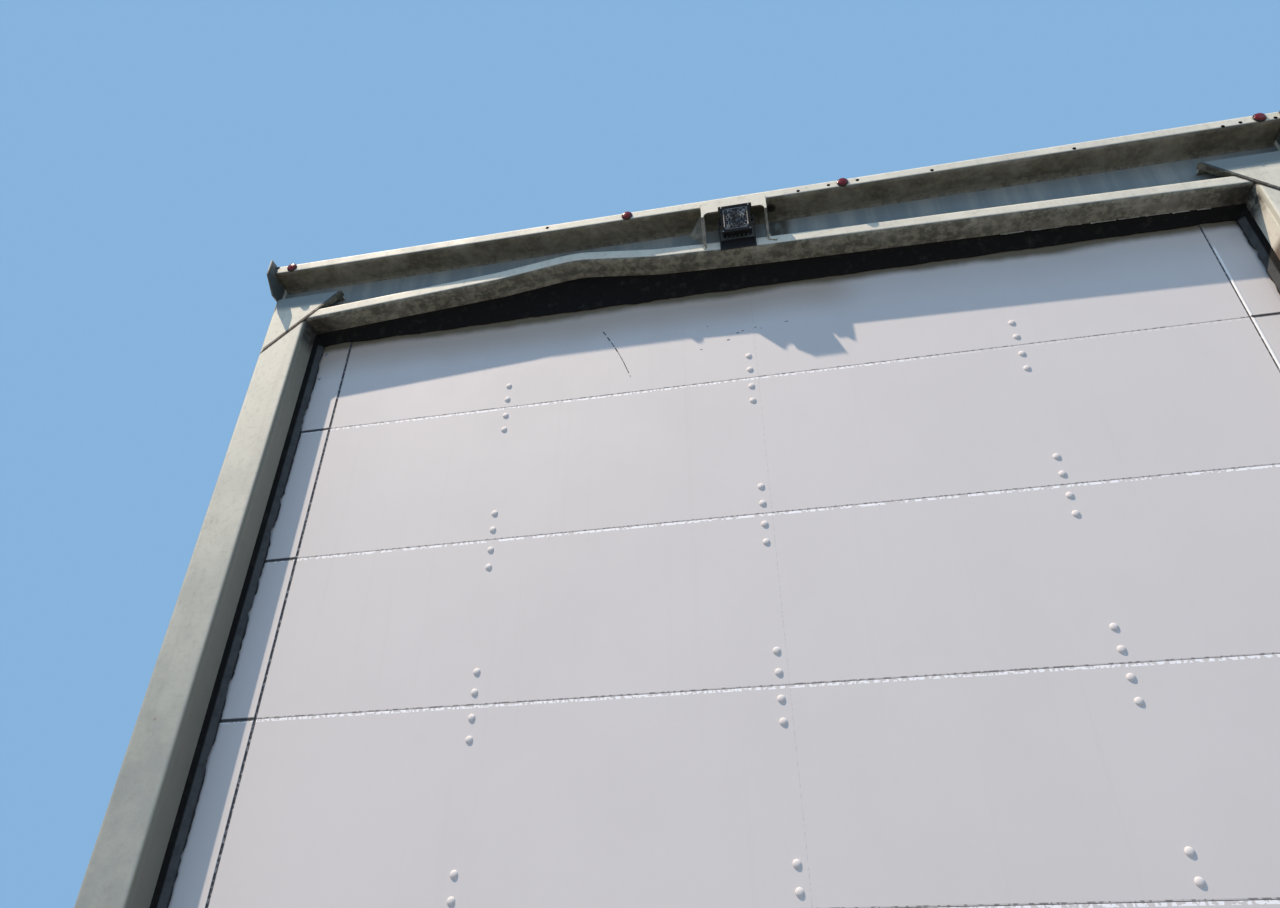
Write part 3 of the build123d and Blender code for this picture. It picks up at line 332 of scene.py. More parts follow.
def old_rubber():
    """Perished black rubber, greyed by dust in patches, and grey along the side seals' lips."""
    f = Finish("old_rubber")
    dust = f.noise(42.0, 7.0, 0.7)
    f.base = f.blend(f.span(dust, 0.50, 0.80, 0.0, 0.35), (0.008, 0.0075, 0.007), (0.08, 0.072, 0.062))
    f.lay(
        (0.085, 0.088, 0.090), f.span(f.calc("ABSOLUTE", f.axis("X")), OPENING - 0.007, OPENING - 0.010),
        f.span(f.axis("Z"), TOP_LOW.z - 0.004, TOP_LOW.z - 0.010), f.span(f.axis("Y"), -0.0040, -0.0075),
        f.span(dust, 0.30, 0.60, 0.55, 0.90))
    return f.done(f.span(dust, 0.3, 0.7, 0.80, 0.96), specular=0.15, relief=(f.cells(190.0), 0.35, 0.0006))


def red_moulding(colour):
    """Deep red lens, hazed and dusty, with a dark foot."""
    f = Finish("red_moulding")
    haze = f.noise(130.0, 4.0)
    f.base = f.blend(f.span(haze, 0.45, 0.70, 0.0, 0.25), colour, (0.10, 0.02, 0.02))
    f.lay((0.022, 0.010, 0.010), f.span(f.axis("Y"), RAIL_LOW.y - 0.0042, RAIL_LOW.y - 0.0026))
    return f.done(f.span(haze, 0.3, 0.7, 0.14, 0.30), specular=0.4, relief=(f.cells(520.0), 0.15, 0.0003))


def black_coat(name, rough):
    """Black powder coat with dust in its texture and bare edges."""
    f = Finish(name)
    dust = f.noise(70.0, 6.0, 0.7)
    f.base = f.blend(f.span(dust, 0.54, 0.74, 0.0, 0.4), (0.013, 0.012, 0.012), (0.085, 0.075, 0.065))
    f.lay((0.20, 0.20, 0.20), f.edges(0.0012), 0.4)
    return f.done(rough, specular=0.25, relief=(f.noise(420.0, 2.0), 0.3, 0.0003))


def hole_shade_and_black_marks():
    """Black: painted shade inside empty holes, and the dark of scratches and flecks."""
    f = Finish("hole_shade_and_black_marks")
    f.base = (0.006, 0.006, 0.006)
    return f.done(1.0, specular=0.0)


def clear_cover():
    """Clear cover of the work lamp: bright facets over dark cups, the facets a painted reflection that is brighter away
    from the middle, and dust.
    """
    f = Finish("clear_cover")
    dust = f.noise(110.0, 5.0)
    f.base = f.blend(f.span(dust, 0.45, 0.7, 0.0, 0.4), (0.016, 0.016, 0.017), (0.07, 0.066, 0.06))
    facets = f.times(
        f.span(f.cells(150.0, "DISTANCE_TO_EDGE"), 0.10, 0.03), f.span(dust, 0.40, 0.58, 0.1, 0.95),
        f.near(f.axis("X"), LAMP_CENTRE.x, 0.005, 0.014, 0.3, 1.0))
    f.lay((0.50, 0.51, 0.51), facets)
    return f.done(f.span(dust, 0.3, 0.7, 0.14, 0.34), specular=0.3)


def oiled_spring():
    """Black spring wire, oiled, with brown on the crowns of the coils."""
    f = Finish("oiled_spring")
    brown = f.noise(24.0, 6.0, 0.7)
    f.base = f.blend(f.span(brown, 0.54, 0.72, 0.0, 0.7), (0.035, 0.034, 0.034), (0.16, 0.08, 0.04))
    return f.done(f.span(brown, 0.3, 0.7, 0.30, 0.62), 0.7, relief=(f.noise(300.0, 2.0), 0.2, 0.0003))


def cast_metal():
    """Sand-cast alloy."""
    f = Finish("cast_metal")
    grain = f.noise(180.0, 5.0, 0.7)
    f.base = f.blend(f.span(grain, 0.4, 0.65), (0.30, 0.30, 0.30), (0.50, 0.50, 0.49))
    return f.done(0.58, 0.75, relief=(grain, 0.5, 0.0008))


def worn_nylon():
    """Off-white nylon, greyed where it rolls."""
    f = Finish("worn_nylon")
    grey = f.noise(90.0, 5.0)
    f.base = f.blend(f.span(grey, 0.42, 0.68), (0.56, 0.54, 0.48), (0.30, 0.28, 0.25))
    return f.done(f.span(grey, 0.3, 0.7, 0.36, 0.58), relief=(f.noise(400.0, 2.0), 0.15, 0.0002))


def pale_torn_edge():
    """Thin galvanised strip, bright where it is torn."""
    f = Finish("pale_torn_edge")
    f.base = f.blend(f.span(f.noise(60.0), 0.4, 0.66), (0.62, 0.61, 0.56), (0.34, 0.31, 0.25))
    return f.done(0.55, 0.3, relief=(f.noise(200.0), 0.3, 0.0005))


# ---- shapes ----


def linked(name, data):
    piece = bpy.data.objects.new(name, data)
    bpy.context.scene.collection.objects.link(piece)
    return piece


def mesh_piece(name, shape, finish, smooth=False):
    vertices, faces = shape
    mesh = bpy.data.meshes.new(name)
    mesh.from_pydata([tuple(v) for v in vertices], [], faces)
    mesh.materials.append(bpy.data.materials[finish])
    form = bmesh.new()
    form.from_mesh(mesh)
    bmesh.ops.recalc_face_normals(form, faces=form.faces)
    form.to_mesh(mesh)
    form.free()
    for face in mesh.polygons:
        face.use_smooth = smooth
    return linked(name, mesh)


def loft(sections):
    """Vertices and faces of a closed form through like rings of points."""
    count = len(sections[0])
    vertices = [point for ring in sections for point in ring]
    faces = [tuple(reversed(range(count)))]
    for row in range(len(sections) - 1):
        for n in range(count):
            m = (n + 1) % count
            faces.append((row * count + n, row * count + m, (row + 1) * count + m, (row + 1) * count + n))
    last = (len(sections) - 1) * count
    faces.append(tuple(range(last, last + count)))
    return vertices, faces


def turned(profile, centre, axis, sides):
    """Closed form turned about an axis: profile is (radius, height) from the base to the crown."""
    across = axis.orthogonal().normalized()
    along = axis.cross(across)
    ways = [across * math.cos(a) + along * math.sin(a) for a in (2 * math.pi * n / sides for n in range(sides))]
    return loft([[centre + axis * height + way * radius for way in ways] for radius, height in profile])


def joined(parts):
    vertices, faces = [], []
    for some, others in parts:
        start = len(vertices)
        vertices += some
        faces += [tuple(start + n for n in face) for face in others]
    return vertices, faces


def dent(x):
    """How far the ledge is bent up at a place across the door."""
    for (x0, z0), (x1, z1) in zip(DENT, DENT[1:]):
        if x <= x1:
            return z0 + (z1 - z0) * (x - x0) / (x1 - x0)
    return 0.0


def rag(place, seed, scale):
    """Uneven wear from -1.5 to 1.5 along a torn edge."""
    coarse = noise.noise(Vector((place * scale, seed, 0.0)))
    return coarse + 0.5 * noise.noise(Vector((place * scale * 4.1, seed + 7.3, 0.0)))


# ---- geometry nodes ----


class Growth(NodeMaker):
    """A geometry-node tree with named inputs, which grows a piece from points."""

    def __init__(self, name, inputs):
        self.tree = bpy.data.node_groups.new(name, "GeometryNodeTree")
        rows = [("Geometry", "Geometry", None)]
        rows += [(label, "Int" if isinstance(value, int) else "Float", value) for label, value in inputs.items()]
        for label, kind, value in rows + [("Finish", "Material", None)]:
            socket = self.tree.interface.new_socket(label, in_out="INPUT", socket_type="NodeSocket" + kind)
            if value is not None:
                socket.default_value = value
        self.tree.interface.new_socket("Geometry", in_out="OUTPUT", socket_type="NodeSocketGeometry")
        self.given = self.tree.nodes.new("NodeGroupInput").outputs

    def on_points(self, head):
        """Sets a head on each point, turned to the point's own aim."""
        aim = self.node("GeometryNodeInputNamedAttribute", {"Name": "aim"}, "Attribute", data_type="FLOAT_VECTOR")
        turn = self.node("FunctionNodeAlignRotationToVector", {"Vector": aim}, axis="Z")
        given = {"Points": self.given["Geometry"], "Instance": head, "Rotation": turn}
        return self.node("GeometryNodeInstanceOnPoints", given)

    def close(self, geometry):
        """Ends the tree in real meshes with their finish."""
        real = self.node("GeometryNodeRealizeInstances", {0: geometry})
        painted = self.node("GeometryNodeSetMaterial", {"Geometry": real, "Material": self.given["Finish"]})
        self.fill(self.tree.nodes.new("NodeGroupOutput"), {0: painted})
        return self.tree


def domed_heads_tree():
    g = Growth("domed_heads", {"Radius": 0.0095, "Height": 0.003})
    ball = g.node("GeometryNodeMeshUVSphere", {"Segments": 20, "Rings": 10, "Radius": 1.0})
    size = g.node("ShaderNodeCombineXYZ", {"X": g.given["Radius"], "Y": g.given["Radius"], "Z": g.given["Height"]})
    flat = g.node("GeometryNodeTransform", {"Geometry": ball, "Scale": size})
    return g.close(g.on_points(g.node("GeometryNodeSetShadeSmooth", {0: flat})))


def hex_heads_tree():
    g = Growth("hex_heads", {"Radius": 0.0075, "Height": 0.005, "Washer": 0.0095})
    double = g.node("ShaderNodeMath", {0: g.given["Height"], 1: 2.0}, operation="MULTIPLY")
    discs = [
        g.node("GeometryNodeMeshCylinder", {"Vertices": sides, "Radius": g.given[label], "Depth": depth})
        for sides, label, depth in ((6, "Radius", double), (20, "Washer", 0.0016))]
    return g.close(g.on_points(g.node("GeometryNodeJoinGeometry", {0: discs})))


def beads_tree():
    g = Growth("weld_beads", {"Radius": 0.0028, "Unevenness": 0.0008, "Seed": 4})
    ball = g.node("GeometryNodeMeshIcoSphere", {"Subdivisions": 2, "Radius": g.given["Radius"]})
    limits = {"Min": 0.0, "Max": g.given["Unevenness"], "Seed": g.given["Seed"]}
    chance = g.node("FunctionNodeRandomValue", limits, 1, data_type="FLOAT")
    shift = g.node("ShaderNodeCombineXYZ", {"Y": chance})
    moved = g.node("GeometryNodeSetPosition", {"Geometry": g.given["Geometry"], "Offset": shift})
    return g.close(g.node("GeometryNodeInstanceOnPoints", {"Points": moved, "Instance": ball}))


def coil_tree():
    g = Growth("spring_coil", {"Coil Radius": 0.026, "Wire Radius": 0.003, "Turns": 98.0, "Length": 0.6})
    spiral = g.node("GeometryNodeCurveSpiral", {
        "Resolution": 18, "Rotations": g.given["Turns"], "Start Radius": g.given["Coil Radius"],
        "End Radius": g.given["Coil Radius"], "Height": g.given["Length"]})
    ring = g.node("GeometryNodeCurvePrimitiveCircle", {"Resolution": 8, "Radius": g.given["Wire Radius"]})
    wire = g.node("GeometryNodeCurveToMesh", {"Curve": spiral, "Profile Curve": ring, "Fill Caps": True})
    laid = g.node("GeometryNodeTransform", {"Geometry": wire, "Rotation": (0.0, math.pi / 2, 0.0)})
    return g.close(g.on_points(laid))


def grown(name, tree, points, aims, finish, body, **sizes):
    """Grows a tree on points and turns the result into a plain mesh that rides a body."""
    if isinstance(aims, tuple):
        aims = [aims] * len(points)
    values = {key.replace("_", " "): value for key, value in sizes.items()}
    values["Finish"] = bpy.data.materials[finish]
    mesh = bpy.data.meshes.new(name)
    mesh.from_pydata([tuple(p) for p in points], [], [])
    attribute = mesh.attributes.new("aim", "FLOAT_VECTOR", "POINT")
    attribute.data.foreach_set("vector", [c for aim in aims for c in aim])
    piece = linked(name, mesh)
    modifier = piece.modifiers.new("grow", "NODES")
    modifier.node_group = tree
    for socket in tree.interface.items_tree:
        if socket.in_out == "INPUT" and socket.name in values:
            modifier[socket.identifier] = values[socket.name]
    graph = bpy.context.evaluated_depsgraph_get()
    made = bpy.data.meshes.new_from_object(piece.evaluated_get(graph), depsgraph=graph)
    piece.modifiers.clear()
    piece.data = made
    made.name = name
    made.materials.clear()
    made.materials.append(values["Finish"])
    for face in made.polygons:
        face.material_index = 0
    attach(piece, body)
    return piece


# ---- settings ----


class FrameSettings(bpy.types.PropertyGroup):
    paint: bpy.props.FloatVectorProperty(
        name="Frame Paint", description="Colour of the frame's paint", subtype="COLOR", size=3,
        min=0.0, max=1.0, default=(0.73, 0.70, 0.59))
    rust: bpy.props.FloatProperty(
        name="Rust", description="How much rust shows at edges and in patches", subtype="FACTOR",
        min=0.0, max=1.0, default=0.55)
    screw_radius: bpy.props.FloatProperty(
        name="Rail Hole Radius", description="Radius of the empty screw holes on the lamp rail", subtype="DISTANCE",
        unit="LENGTH", default=0.0042)


class DoorSettings(bpy.types.PropertyGroup):
    skin: bpy.props.FloatVectorProperty(
        name="Door Skin", description="Colour of the door's outer skin", subtype="COLOR", size=3,
        min=0.0, max=1.0, default=(0.675, 0.645, 0.635))
    bolt_radius: bpy.props.FloatProperty(
        name="Bolt Head Radius", description="Radius of the hinge bolts' domed heads", subtype="DISTANCE",
        unit="LENGTH", default=0.0072)
    bolt_height: bpy.props.FloatProperty(
        name="Bolt Head Height", description="Height of the hinge bolts' domed heads", subtype="DISTANCE",
        unit="LENGTH", default=0.0034)
    column: bpy.props.FloatProperty(
        name="Hinge Column", description="Distance of the side hinge columns from the middle one", subtype="DISTANCE",
        unit="LENGTH", default=0.570)
    strip_inner: bpy.props.FloatProperty(
        name="Edge Strip Start", description="Inner edge of the door's edge strips from the middle", subtype="DISTANCE",
        unit="LENGTH", default=1.019)
    strip_outer: bpy.props.FloatProperty(
        name="Edge Strip End", description="Outer edge of the door's edge strips from the middle", subtype="DISTANCE",
        unit="LENGTH", default=1.086)


class SealSettings(bpy.types.PropertyGroup):
    wear: bpy.props.FloatProperty(
        name="Seal Wear", description="How deeply the rubber lips are torn", subtype="FACTOR",
        min=0.0, max=1.0, default=0.6)


class SpringSettings(bpy.types.PropertyGroup):
    wire: bpy.props.FloatProperty(
        name="Spring Wire", description="Diameter of the spring wire", subtype="DISTANCE", unit="LENGTH", default=0.006)


class LampSettings(bpy.types.PropertyGroup):
    red: bpy.props.FloatVectorProperty(
        name="Marker Lens", description="Colour of the marker lamps' lenses", subtype="COLOR", size=3,
        min=0.0, max=1.0, default=(0.15, 0.004, 0.007))


class StageSettings(bpy.types.PropertyGroup):
    floor_colour: bpy.props.FloatVectorProperty(
        name="Floor", description="Colour of the floor", subtype="COLOR", size=3, min=0.0, max=1.0,
        default=(0.26, 0.26, 0.255))
    key_power: bpy.props.FloatProperty(
        name="Key Light", description="Power of the large key light", unit="POWER", default=4830.0)
    key_colour: bpy.props.FloatVectorProperty(
        name="Key Colour", description="Colour of the key light", subtype="COLOR", size=3, min=0.0, max=1.0,
        default=(1.0, 0.83, 0.66))
    sky: bpy.props.FloatVectorProperty(
        name="Sky", description="Colour of the even light from around", subtype="COLOR", size=3, min=0.0, max=1.0,
        default=(0.34, 0.63, 1.0))


def kit():
    return bpy.context.scene.door_frame


class DoorFrameSettings(bpy.types.PropertyGroup):
    frame: bpy.props.PointerProperty(type=FrameSettings, name="Frame", description="Frame settings")
    door: bpy.props.PointerProperty(type=DoorSettings, name="Door", description="Door settings")
    seals: bpy.props.PointerProperty(type=SealSettings, name="Seals", description="Seal settings")
    springs: bpy.props.PointerProperty(type=SpringSettings, name="Springs", description="Spring settings")
    lamps: bpy.props.PointerProperty(type=LampSettings, name="Lamps", description="Lamp settings")
    stage: bpy.props.PointerProperty(type=StageSettings, name="Stage", description="Stage settings")


# ---- operators ----


class DOORFRAME_OT_finishes(bpy.types.Operator):
    """Makes the finishes and gives every carried-over solid its own"""

    bl_idname = "doorframe.finishes"
    bl_label = "Finishes"

    def execute(self, context):
        settings = kit()
        finishes = {
            "frame_steel": weathered_and_shaded_frame(tuple(settings.frame.paint), settings.frame.rust),
            "door_skin": door_laminate(tuple(settings.door.skin)),
            "zinc_steel": zinc_plate("dull_zinc", (0.48, 0.49, 0.50)),
            "cable_steel": stranded_cable(),
            "spring_steel": oiled_spring(),
            "cast_alloy": cast_metal(),
            "roller_nylon": worn_nylon(),
            "seal_rubber": old_rubber(),
            "red_lens": red_moulding(tuple(settings.lamps.red)),
            "lamp_housing": black_coat("lamp_black", 0.5),
            "clear_lens": clear_cover(),
            "black_steel": black_coat("yoke_black", 0.6),
            "latch_steel": zinc_plate("latch_zinc", (0.44, 0.44, 0.44), 0.7),
        }
        hole_shade_and_black_marks()
        pale_torn_edge()
        for row in frame["record"]["subparts"]:
            node = frame["nodes"][row["node"]]
            node.data.materials.clear()
            node.data.materials.append(finishes[row["material_slot"]])
        return {"FINISHED"}


class DOORFRAME_OT_door_bolts(bpy.types.Operator):
    """Hinge bolts: domed heads outside, nuts on the hinges inside; screws of the left edge strip"""

    bl_idname = "doorframe.door_bolts"
    bl_label = "Door Bolts"

    def execute(self, context):
        door = kit().door
        leaf = SKIN_INNER + HINGE_LEAF
        spots = [(x, seam + rise) for x in (-door.column, 0.0, door.column) for seam in SEAMS for rise in BOLT_RISES]
        heads = grown(
            "hinge_bolt_heads", domed_heads_tree(), [(x, 0.0, z) for x, z in spots], OUT, "door_laminate", FIXED,
            Radius=door.bolt_radius, Height=door.bolt_height)
        nuts = grown(
            "hinge_bolt_nuts", hex_heads_tree(), [(x, leaf, z) for x, z in spots], IN, "dull_zinc", FIXED, **HINGE_NUT)
        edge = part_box("end_hinges_left")[0].x + 0.051
        ends = [(side * edge, leaf, seam + rise) for side in SIDES for seam in SEAMS for rise in END_BOLT_RISES]
        ends += [(side * edge, leaf, SKIN_HIGH.z - fall) for side in SIDES for fall in (0.012, 0.115)]
        end_nuts = grown("end_hinge_nuts", hex_heads_tree(), ends, IN, "dull_zinc", FIXED, **HINGE_NUT)
        places = [(-1.082, -0.0006, z) for z in (2.112, 2.032)]
        screws = grown(
            "edge_strip_screws", domed_heads_tree(), places, OUT, "dull_zinc", FIXED, Radius=0.0045, Height=0.0015)
        return {"FINISHED"}


class DOORFRAME_OT_door_strips(bpy.types.Operator):
    """Thin edge strips on the door's outer face, with a bead at the inner edge, and the scratch"""

    bl_idname = "doorframe.door_strips"
    bl_label = "Door Edge Strips"

    def execute(self, context):
        inner, outer, thick, crown = kit().door.strip_inner, kit().door.strip_outer, -0.0006, -0.0018
        section = [
            (outer, 0.0), (outer, thick), (inner + 0.006, thick), (inner + 0.0045, crown), (inner + 0.0015, crown),
            (inner, 0.0)]
        parts = []
        for side in SIDES:
            for number in range(6):
                low = SKIN_LOW.z + PANEL * number + 0.0015
                levels = (low, low + PANEL - 0.003)
                parts.append(loft([[Vector((side * x, y, z)) for x, y in section] for z in levels]))
        strips = mesh_piece("door_edge_strips", joined(parts), "door_laminate")
        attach(strips, FIXED)

        proud, bow = 0.0004, 0.006
        start, stop = Vector((-0.343, -proud, 2.064)), Vector((-0.271, -proud, 1.902))
        marks = []
        for low, high, half in (
            (0.0, 0.07, 0.0011), (0.12, 0.20, 0.0013), (0.23, 0.33, 0.0009), (0.35, 0.43, 0.0013),
            (0.44, 0.62, 0.0007), (0.63, 0.86, 0.0008), (0.90, 0.94, 0.0004)):
            ends = [start.lerp(stop, share) + Vector((bow * math.sin(math.pi * share), 0, 0)) for share in (low, high)]
            square = ((-half, 0.0), (half, 0.0), (half, proud), (-half, proud))
            marks.append(loft([[end + Vector((x, y, 0)) for x, y in square] for end in ends]))
        for x, z, long, wide in (
            (-0.043, 1.987, 0.007, 0.0022), (-0.020, 2.005, 0.005, 0.0030), (-0.008, 2.009, 0.006, 0.0018),
            (0.022, 2.015, 0.004, 0.0025), (0.094, 2.021, 0.008, 0.0016), (-0.107, 1.968, 0.005, 0.0014),
            (-0.089, 2.037, 0.003, 0.0014), (0.035, 2.010, 0.003, 0.0014)):
            fleck = ((-long / 2, -wide / 2), (long / 2, -wide / 6), (long / 2, wide / 2), (-long / 2, wide / 4))
            marks.append(loft([[Vector((x + a, y, z + b)) for a, b in fleck] for y in (-proud, 0.0)]))
        scratch = mesh_piece("door_scratch", joined(marks), "hole_shade_and_black_marks")
        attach(scratch, FIXED)
        return {"FINISHED"}


class DOORFRAME_OT_seals(bpy.types.Operator):
    """Perished rubber lips with torn edges, in place of the plain seals"""

    bl_idname = "doorframe.seals"
    bl_label = "Seals"

    def execute(self, context):
        wear = kit().seals.wear
        root, thick, lip, flange, rows = -0.025, 0.003, 0.022, 0.026, 264
        tall = LEDGE_LOW.z - 0.0005 - SEAL_LOW.z
        parts = []
        for side in SIDES:
            rings = []
            for n in range(rows + 1):
                z = SEAL_LOW.z + tall * n / rows
                torn = max(0.0, rag(z, 3.0 + side, 16.0)) * 0.55 * wear + 0.10 * wear * (rag(z, 9.0 + side, 60.0) + 1)
                reach = max(0.35, 1.0 - torn)
                tip = OPENING - lip * reach
                ring = [
                    (OPENING + flange, root), (OPENING, root), (tip, root + lip * reach),
                    (tip + 0.0015, root + thick + 0.0217 * reach), (OPENING + thick, root + thick),
                    (OPENING + flange, root + thick)]
                rings.append([Vector((side * x, min(y, -0.0003), z)) for x, y in ring])
            parts.append(loft(rings))
        lips = mesh_piece("torn_side_seals", joined(parts), "old_rubber")
        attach(lips, FIXED)
        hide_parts("side_seals")

        rings, rows = [], 278
        for n in range(rows + 1):
            x = -OPENING + 2 * OPENING * n / rows
            base = LEDGE_LOW.z + dent(x)
            low = TOP_LOW.z + max(-0.004, 0.007 * wear * rag(x, 21.0, 14.0))
            ring = [
            (-0.023, base + 0.030), (-0.023, base), (-0.003, low), (-0.0003, low + 0.0015),
            (-0.020, base + 0.003), (-0.020, base + 0.030)]
            rings.append([Vector((x, y, z)) for y, z in ring])
        lip = mesh_piece("torn_top_seal", loft(rings), "old_rubber")
        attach(lip, FIXED)
        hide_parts("top_seal")
        return {"FINISHED"}


class DOORFRAME_OT_rail_details(bpy.types.Operator):
    """Empty screw holes on the lamp rail, black discs of painted shade, and the torn strip under the ledge"""

    bl_idname = "doorframe.rail_details"
    bl_label = "Rail Details"

    def execute(self, context):
        points = [(x, RAIL_LOW.y, z) for x, z in SCREW_HOLES]
        holes = grown(
            "rail_screw_holes", domed_heads_tree(), points, OUT, "hole_shade_and_black_marks", FIXED,
            Radius=kit().frame.screw_radius, Height=0.0003)

        chance = random.Random(5)
        parts, x, end = [], 0.600, 1.020
        while x < end:
            length = chance.uniform(0.02, 0.07)
            drop = chance.uniform(0.003, 0.008)
            rings = []
            for n in range(5):
                along = x + length * n / 4
                hang = drop * (0.35 + 0.65 * abs(rag(along, 31.0, 40.0)))
                z = LEDGE_LOW.z + dent(along)
                ring = (0.0, z + 0.002), (-0.0008, z + 0.002), (-0.002, z - hang), (-0.0012, z - hang)
                rings.append([Vector((along, LEDGE_HIGH.y + y, h)) for y, h in ring])
            parts.append(loft(rings))
            x += length + chance.uniform(0.004, 0.02)
        strip = mesh_piece("torn_ledge_strip", joined(parts), "pale_torn_edge")
        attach(strip, FIXED)
        return {"FINISHED"}


class DOORFRAME_OT_marker_lamps(bpy.types.Operator):
    """Domed marker lenses with ringed mouldings, in place of the plain ones"""

    bl_idname = "doorframe.marker_lamps"
    bl_label = "Marker Lamps"

    def execute(self, context):
        profile = [
            (0.0135, 0.0), (0.0135, 0.0022), (0.0130, 0.0028), (0.0114, 0.0028), (0.0112, 0.0040), (0.0106, 0.0050),
            (0.0098, 0.0060), (0.0090, 0.0060), (0.0080, 0.0068), (0.0070, 0.0068), (0.0056, 0.0074), (0.0046, 0.0074),
            (0.0030, 0.0078), (0.0012, 0.0079)]
        parts = [turned(profile, Vector((x, RAIL_LOW.y, RAIL_HIGH.z - 0.016)), Vector(OUT), 32) for x in MARKERS]
        lamps = mesh_piece("marker_lenses", joined(parts), "red_moulding", smooth=True)
        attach(lamps, FIXED)
        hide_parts("marker_lamps")
        return {"FINISHED"}


class DOORFRAME_OT_work_lamp(bpy.types.Operator):
    """Optics, bezel screws and the flat bezel on the work lamp"""

    bl_idname = "doorframe.work_lamp"
    bl_label = "Work Lamp"

    def execute(self, context):
        out = Vector((0, -math.cos(LAMP_TILT), -math.sin(LAMP_TILT)))
        up = Vector((0, -math.sin(LAMP_TILT), math.cos(LAMP_TILT)))
        right = Vector((1, 0, 0))
        centre = LAMP_CENTRE + out * 0.0205
        profile = [(0.0115, -0.0006), (0.0115, 0.0008), (0.0095, 0.0012), (0.0060, 0.0020), (0.0020, 0.0024)]
        parts = [
            turned(profile, centre + right * x + up * z, out, 24)
            for x in (-0.0145, 0.0145) for z in (-0.0125, 0.0125)]
        optics = mesh_piece("work_lamp_optics", joined(parts), "clear_cover", smooth=True)
        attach(optics, "work_lamp")
        face = LAMP_CENTRE + out * 0.022
        corners = [face + right * x + up * z for x in (-0.0322, 0.0322) for z in (-0.0282, 0.0282)]
        screws = grown(
            "work_lamp_screws", domed_heads_tree(), corners, tuple(out), "dull_zinc", "work_lamp",
            Radius=0.0018, Height=0.0009)

        radii = (0.0075, 0.0075, 0.0065, 0.0053, 0.0053)
        rings, count, sides = [], len(radii), 32
        for radius in radii:
            ring = []
            for turn in range(sides):
                angle = 2 * math.pi * (turn + 0.5) / sides
                x = math.copysign(0.0215, math.cos(angle)) + radius * math.cos(angle)
                z = math.copysign(0.0175, math.sin(angle)) + radius * math.sin(angle)
                ring.append(face + right * x + up * z)
            rings.append(ring)
        faces = [
            (r * sides + n, r * sides + (n + 1) % sides, (r + 1) % count * sides + (n + 1) % sides,
             (r + 1) % count * sides + n)
            for r in range(count) for n in range(sides)]
        bezel = mesh_piece("work_lamp_bezel", ([p for ring in rings for p in ring], faces), "dull_zinc", smooth=True)
        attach(bezel, "work_lamp")
        return {"FINISHED"}


class DOORFRAME_OT_guard_welds(bpy.types.Operator):
    """Rounded inner corners, a bent foot and weld beads on the lamp guard"""

    bl_idname = "doorframe.guard_welds"
    bl_label = "Guard Welds"

    def execute(self, context):
        low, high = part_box("lamp_guard")
        step, rail_foot = 0.0030, RAIL_HIGH.z - 0.032
        points = []
        for side in SIDES:
            x = side * high.x
            for n in range(int((rail_foot - low.z) / step)):
                z = low.z + n * step
                if z < LEDGE_LOW.z + dent(x) + 0.034:
                    points.append((x, high.y, z))
            for n in range(int((high.y - RAIL_LOW.y) / step)):
                points.append((x, RAIL_LOW.y + n * step, rail_foot))
        for n in range(int(2 * high.x / step)):
            points.append((-high.x + n * step, RAIL_LOW.y, high.z))
        beads = grown("guard_weld_beads", beads_tree(), points, OUT, "frame_paint_weathered_and_shaded", FIXED)

        plate, radius, overlap = 0.005, 0.013, 0.0005
        inner, band = high.x - plate, high.z - 0.040
        arc = [
            (inner - radius + radius * math.sin(a), band - radius + radius * math.cos(a))
            for a in (math.pi / 2 * n / 8 for n in range(9))]
        outline = [
            (inner + overlap, band + overlap), (inner - radius, band + overlap), *arc,
            (inner + overlap, band - radius)]
        parts = []
        for side in SIDES:
            depths = (low.y + plate, low.y + 0.0002)
            parts.append(loft([[Vector((side * x, y, z)) for x, z in outline] for y in depths]))
        foot = [(0.0, 0.0085), (0.0, 0.0), (0.0145, -0.0070), (0.0175, -0.0020)]
        parts.append(loft([[Vector((high.x + x, y, low.z + z)) for x, z in foot] for y in (high.y, high.y - 0.003)]))
        corners = mesh_piece("guard_corners", joined(parts), "frame_paint_weathered_and_shaded")
        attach(corners, FIXED)
        return {"FINISHED"}


class DOORFRAME_OT_drum_grooves(bpy.types.Operator):
    """Ridges of the cable drums' grooves"""

    bl_idname = "doorframe.drum_grooves"
    bl_label = "Drum Grooves"

    def execute(self, context):
        low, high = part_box("cable_drums")
        root = (high.z - low.z) / 2 - 0.007
        middle = high.x - 0.013
        profile = [
            (root - 0.002, -0.0010), (root + 0.0002, -0.0008), (root + 0.0011, -0.0003), (root + 0.0011, 0.0003),
            (root + 0.0002, 0.0008), (root - 0.002, 0.0010)]
        places = [side * (middle + offset) for side in SIDES for offset in (-0.0075, -0.0040, 0.0040, 0.0075)]
        parts = [turned(profile, Vector((x, SHAFT.y, SHAFT.z)), Vector((1, 0, 0)), 64) for x in places]
        ridges = mesh_piece("drum_ridges", joined(parts), "cast_metal")
        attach(ridges, FIXED)
        return {"FINISHED"}


class DOORFRAME_OT_springs(bpy.types.Operator):
    """Close-wound torsion springs, in place of the plain tubes"""

    bl_idname = "doorframe.springs"
    bl_label = "Torsion Springs"

    def execute(self, context):
        wire = kit().springs.wire
        low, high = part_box("torsion_springs")
        outer = (high.z - low.z) / 2
        turns = round((SPRING_LENGTH - wire) / (wire * 1.02))
        starts = [(x, SHAFT.y, SHAFT.z) for x in (high.x - SPRING_LENGTH + wire / 2, low.x + wire / 2)]
        coils = grown(
            "spring_coils", coil_tree(), starts, UP, "oiled_spring", FIXED,
            Coil_Radius=outer - wire / 2, Wire_Radius=wire / 2, Turns=float(turns), Length=SPRING_LENGTH - wire)
        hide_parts("torsion_springs")
        return {"FINISHED"}


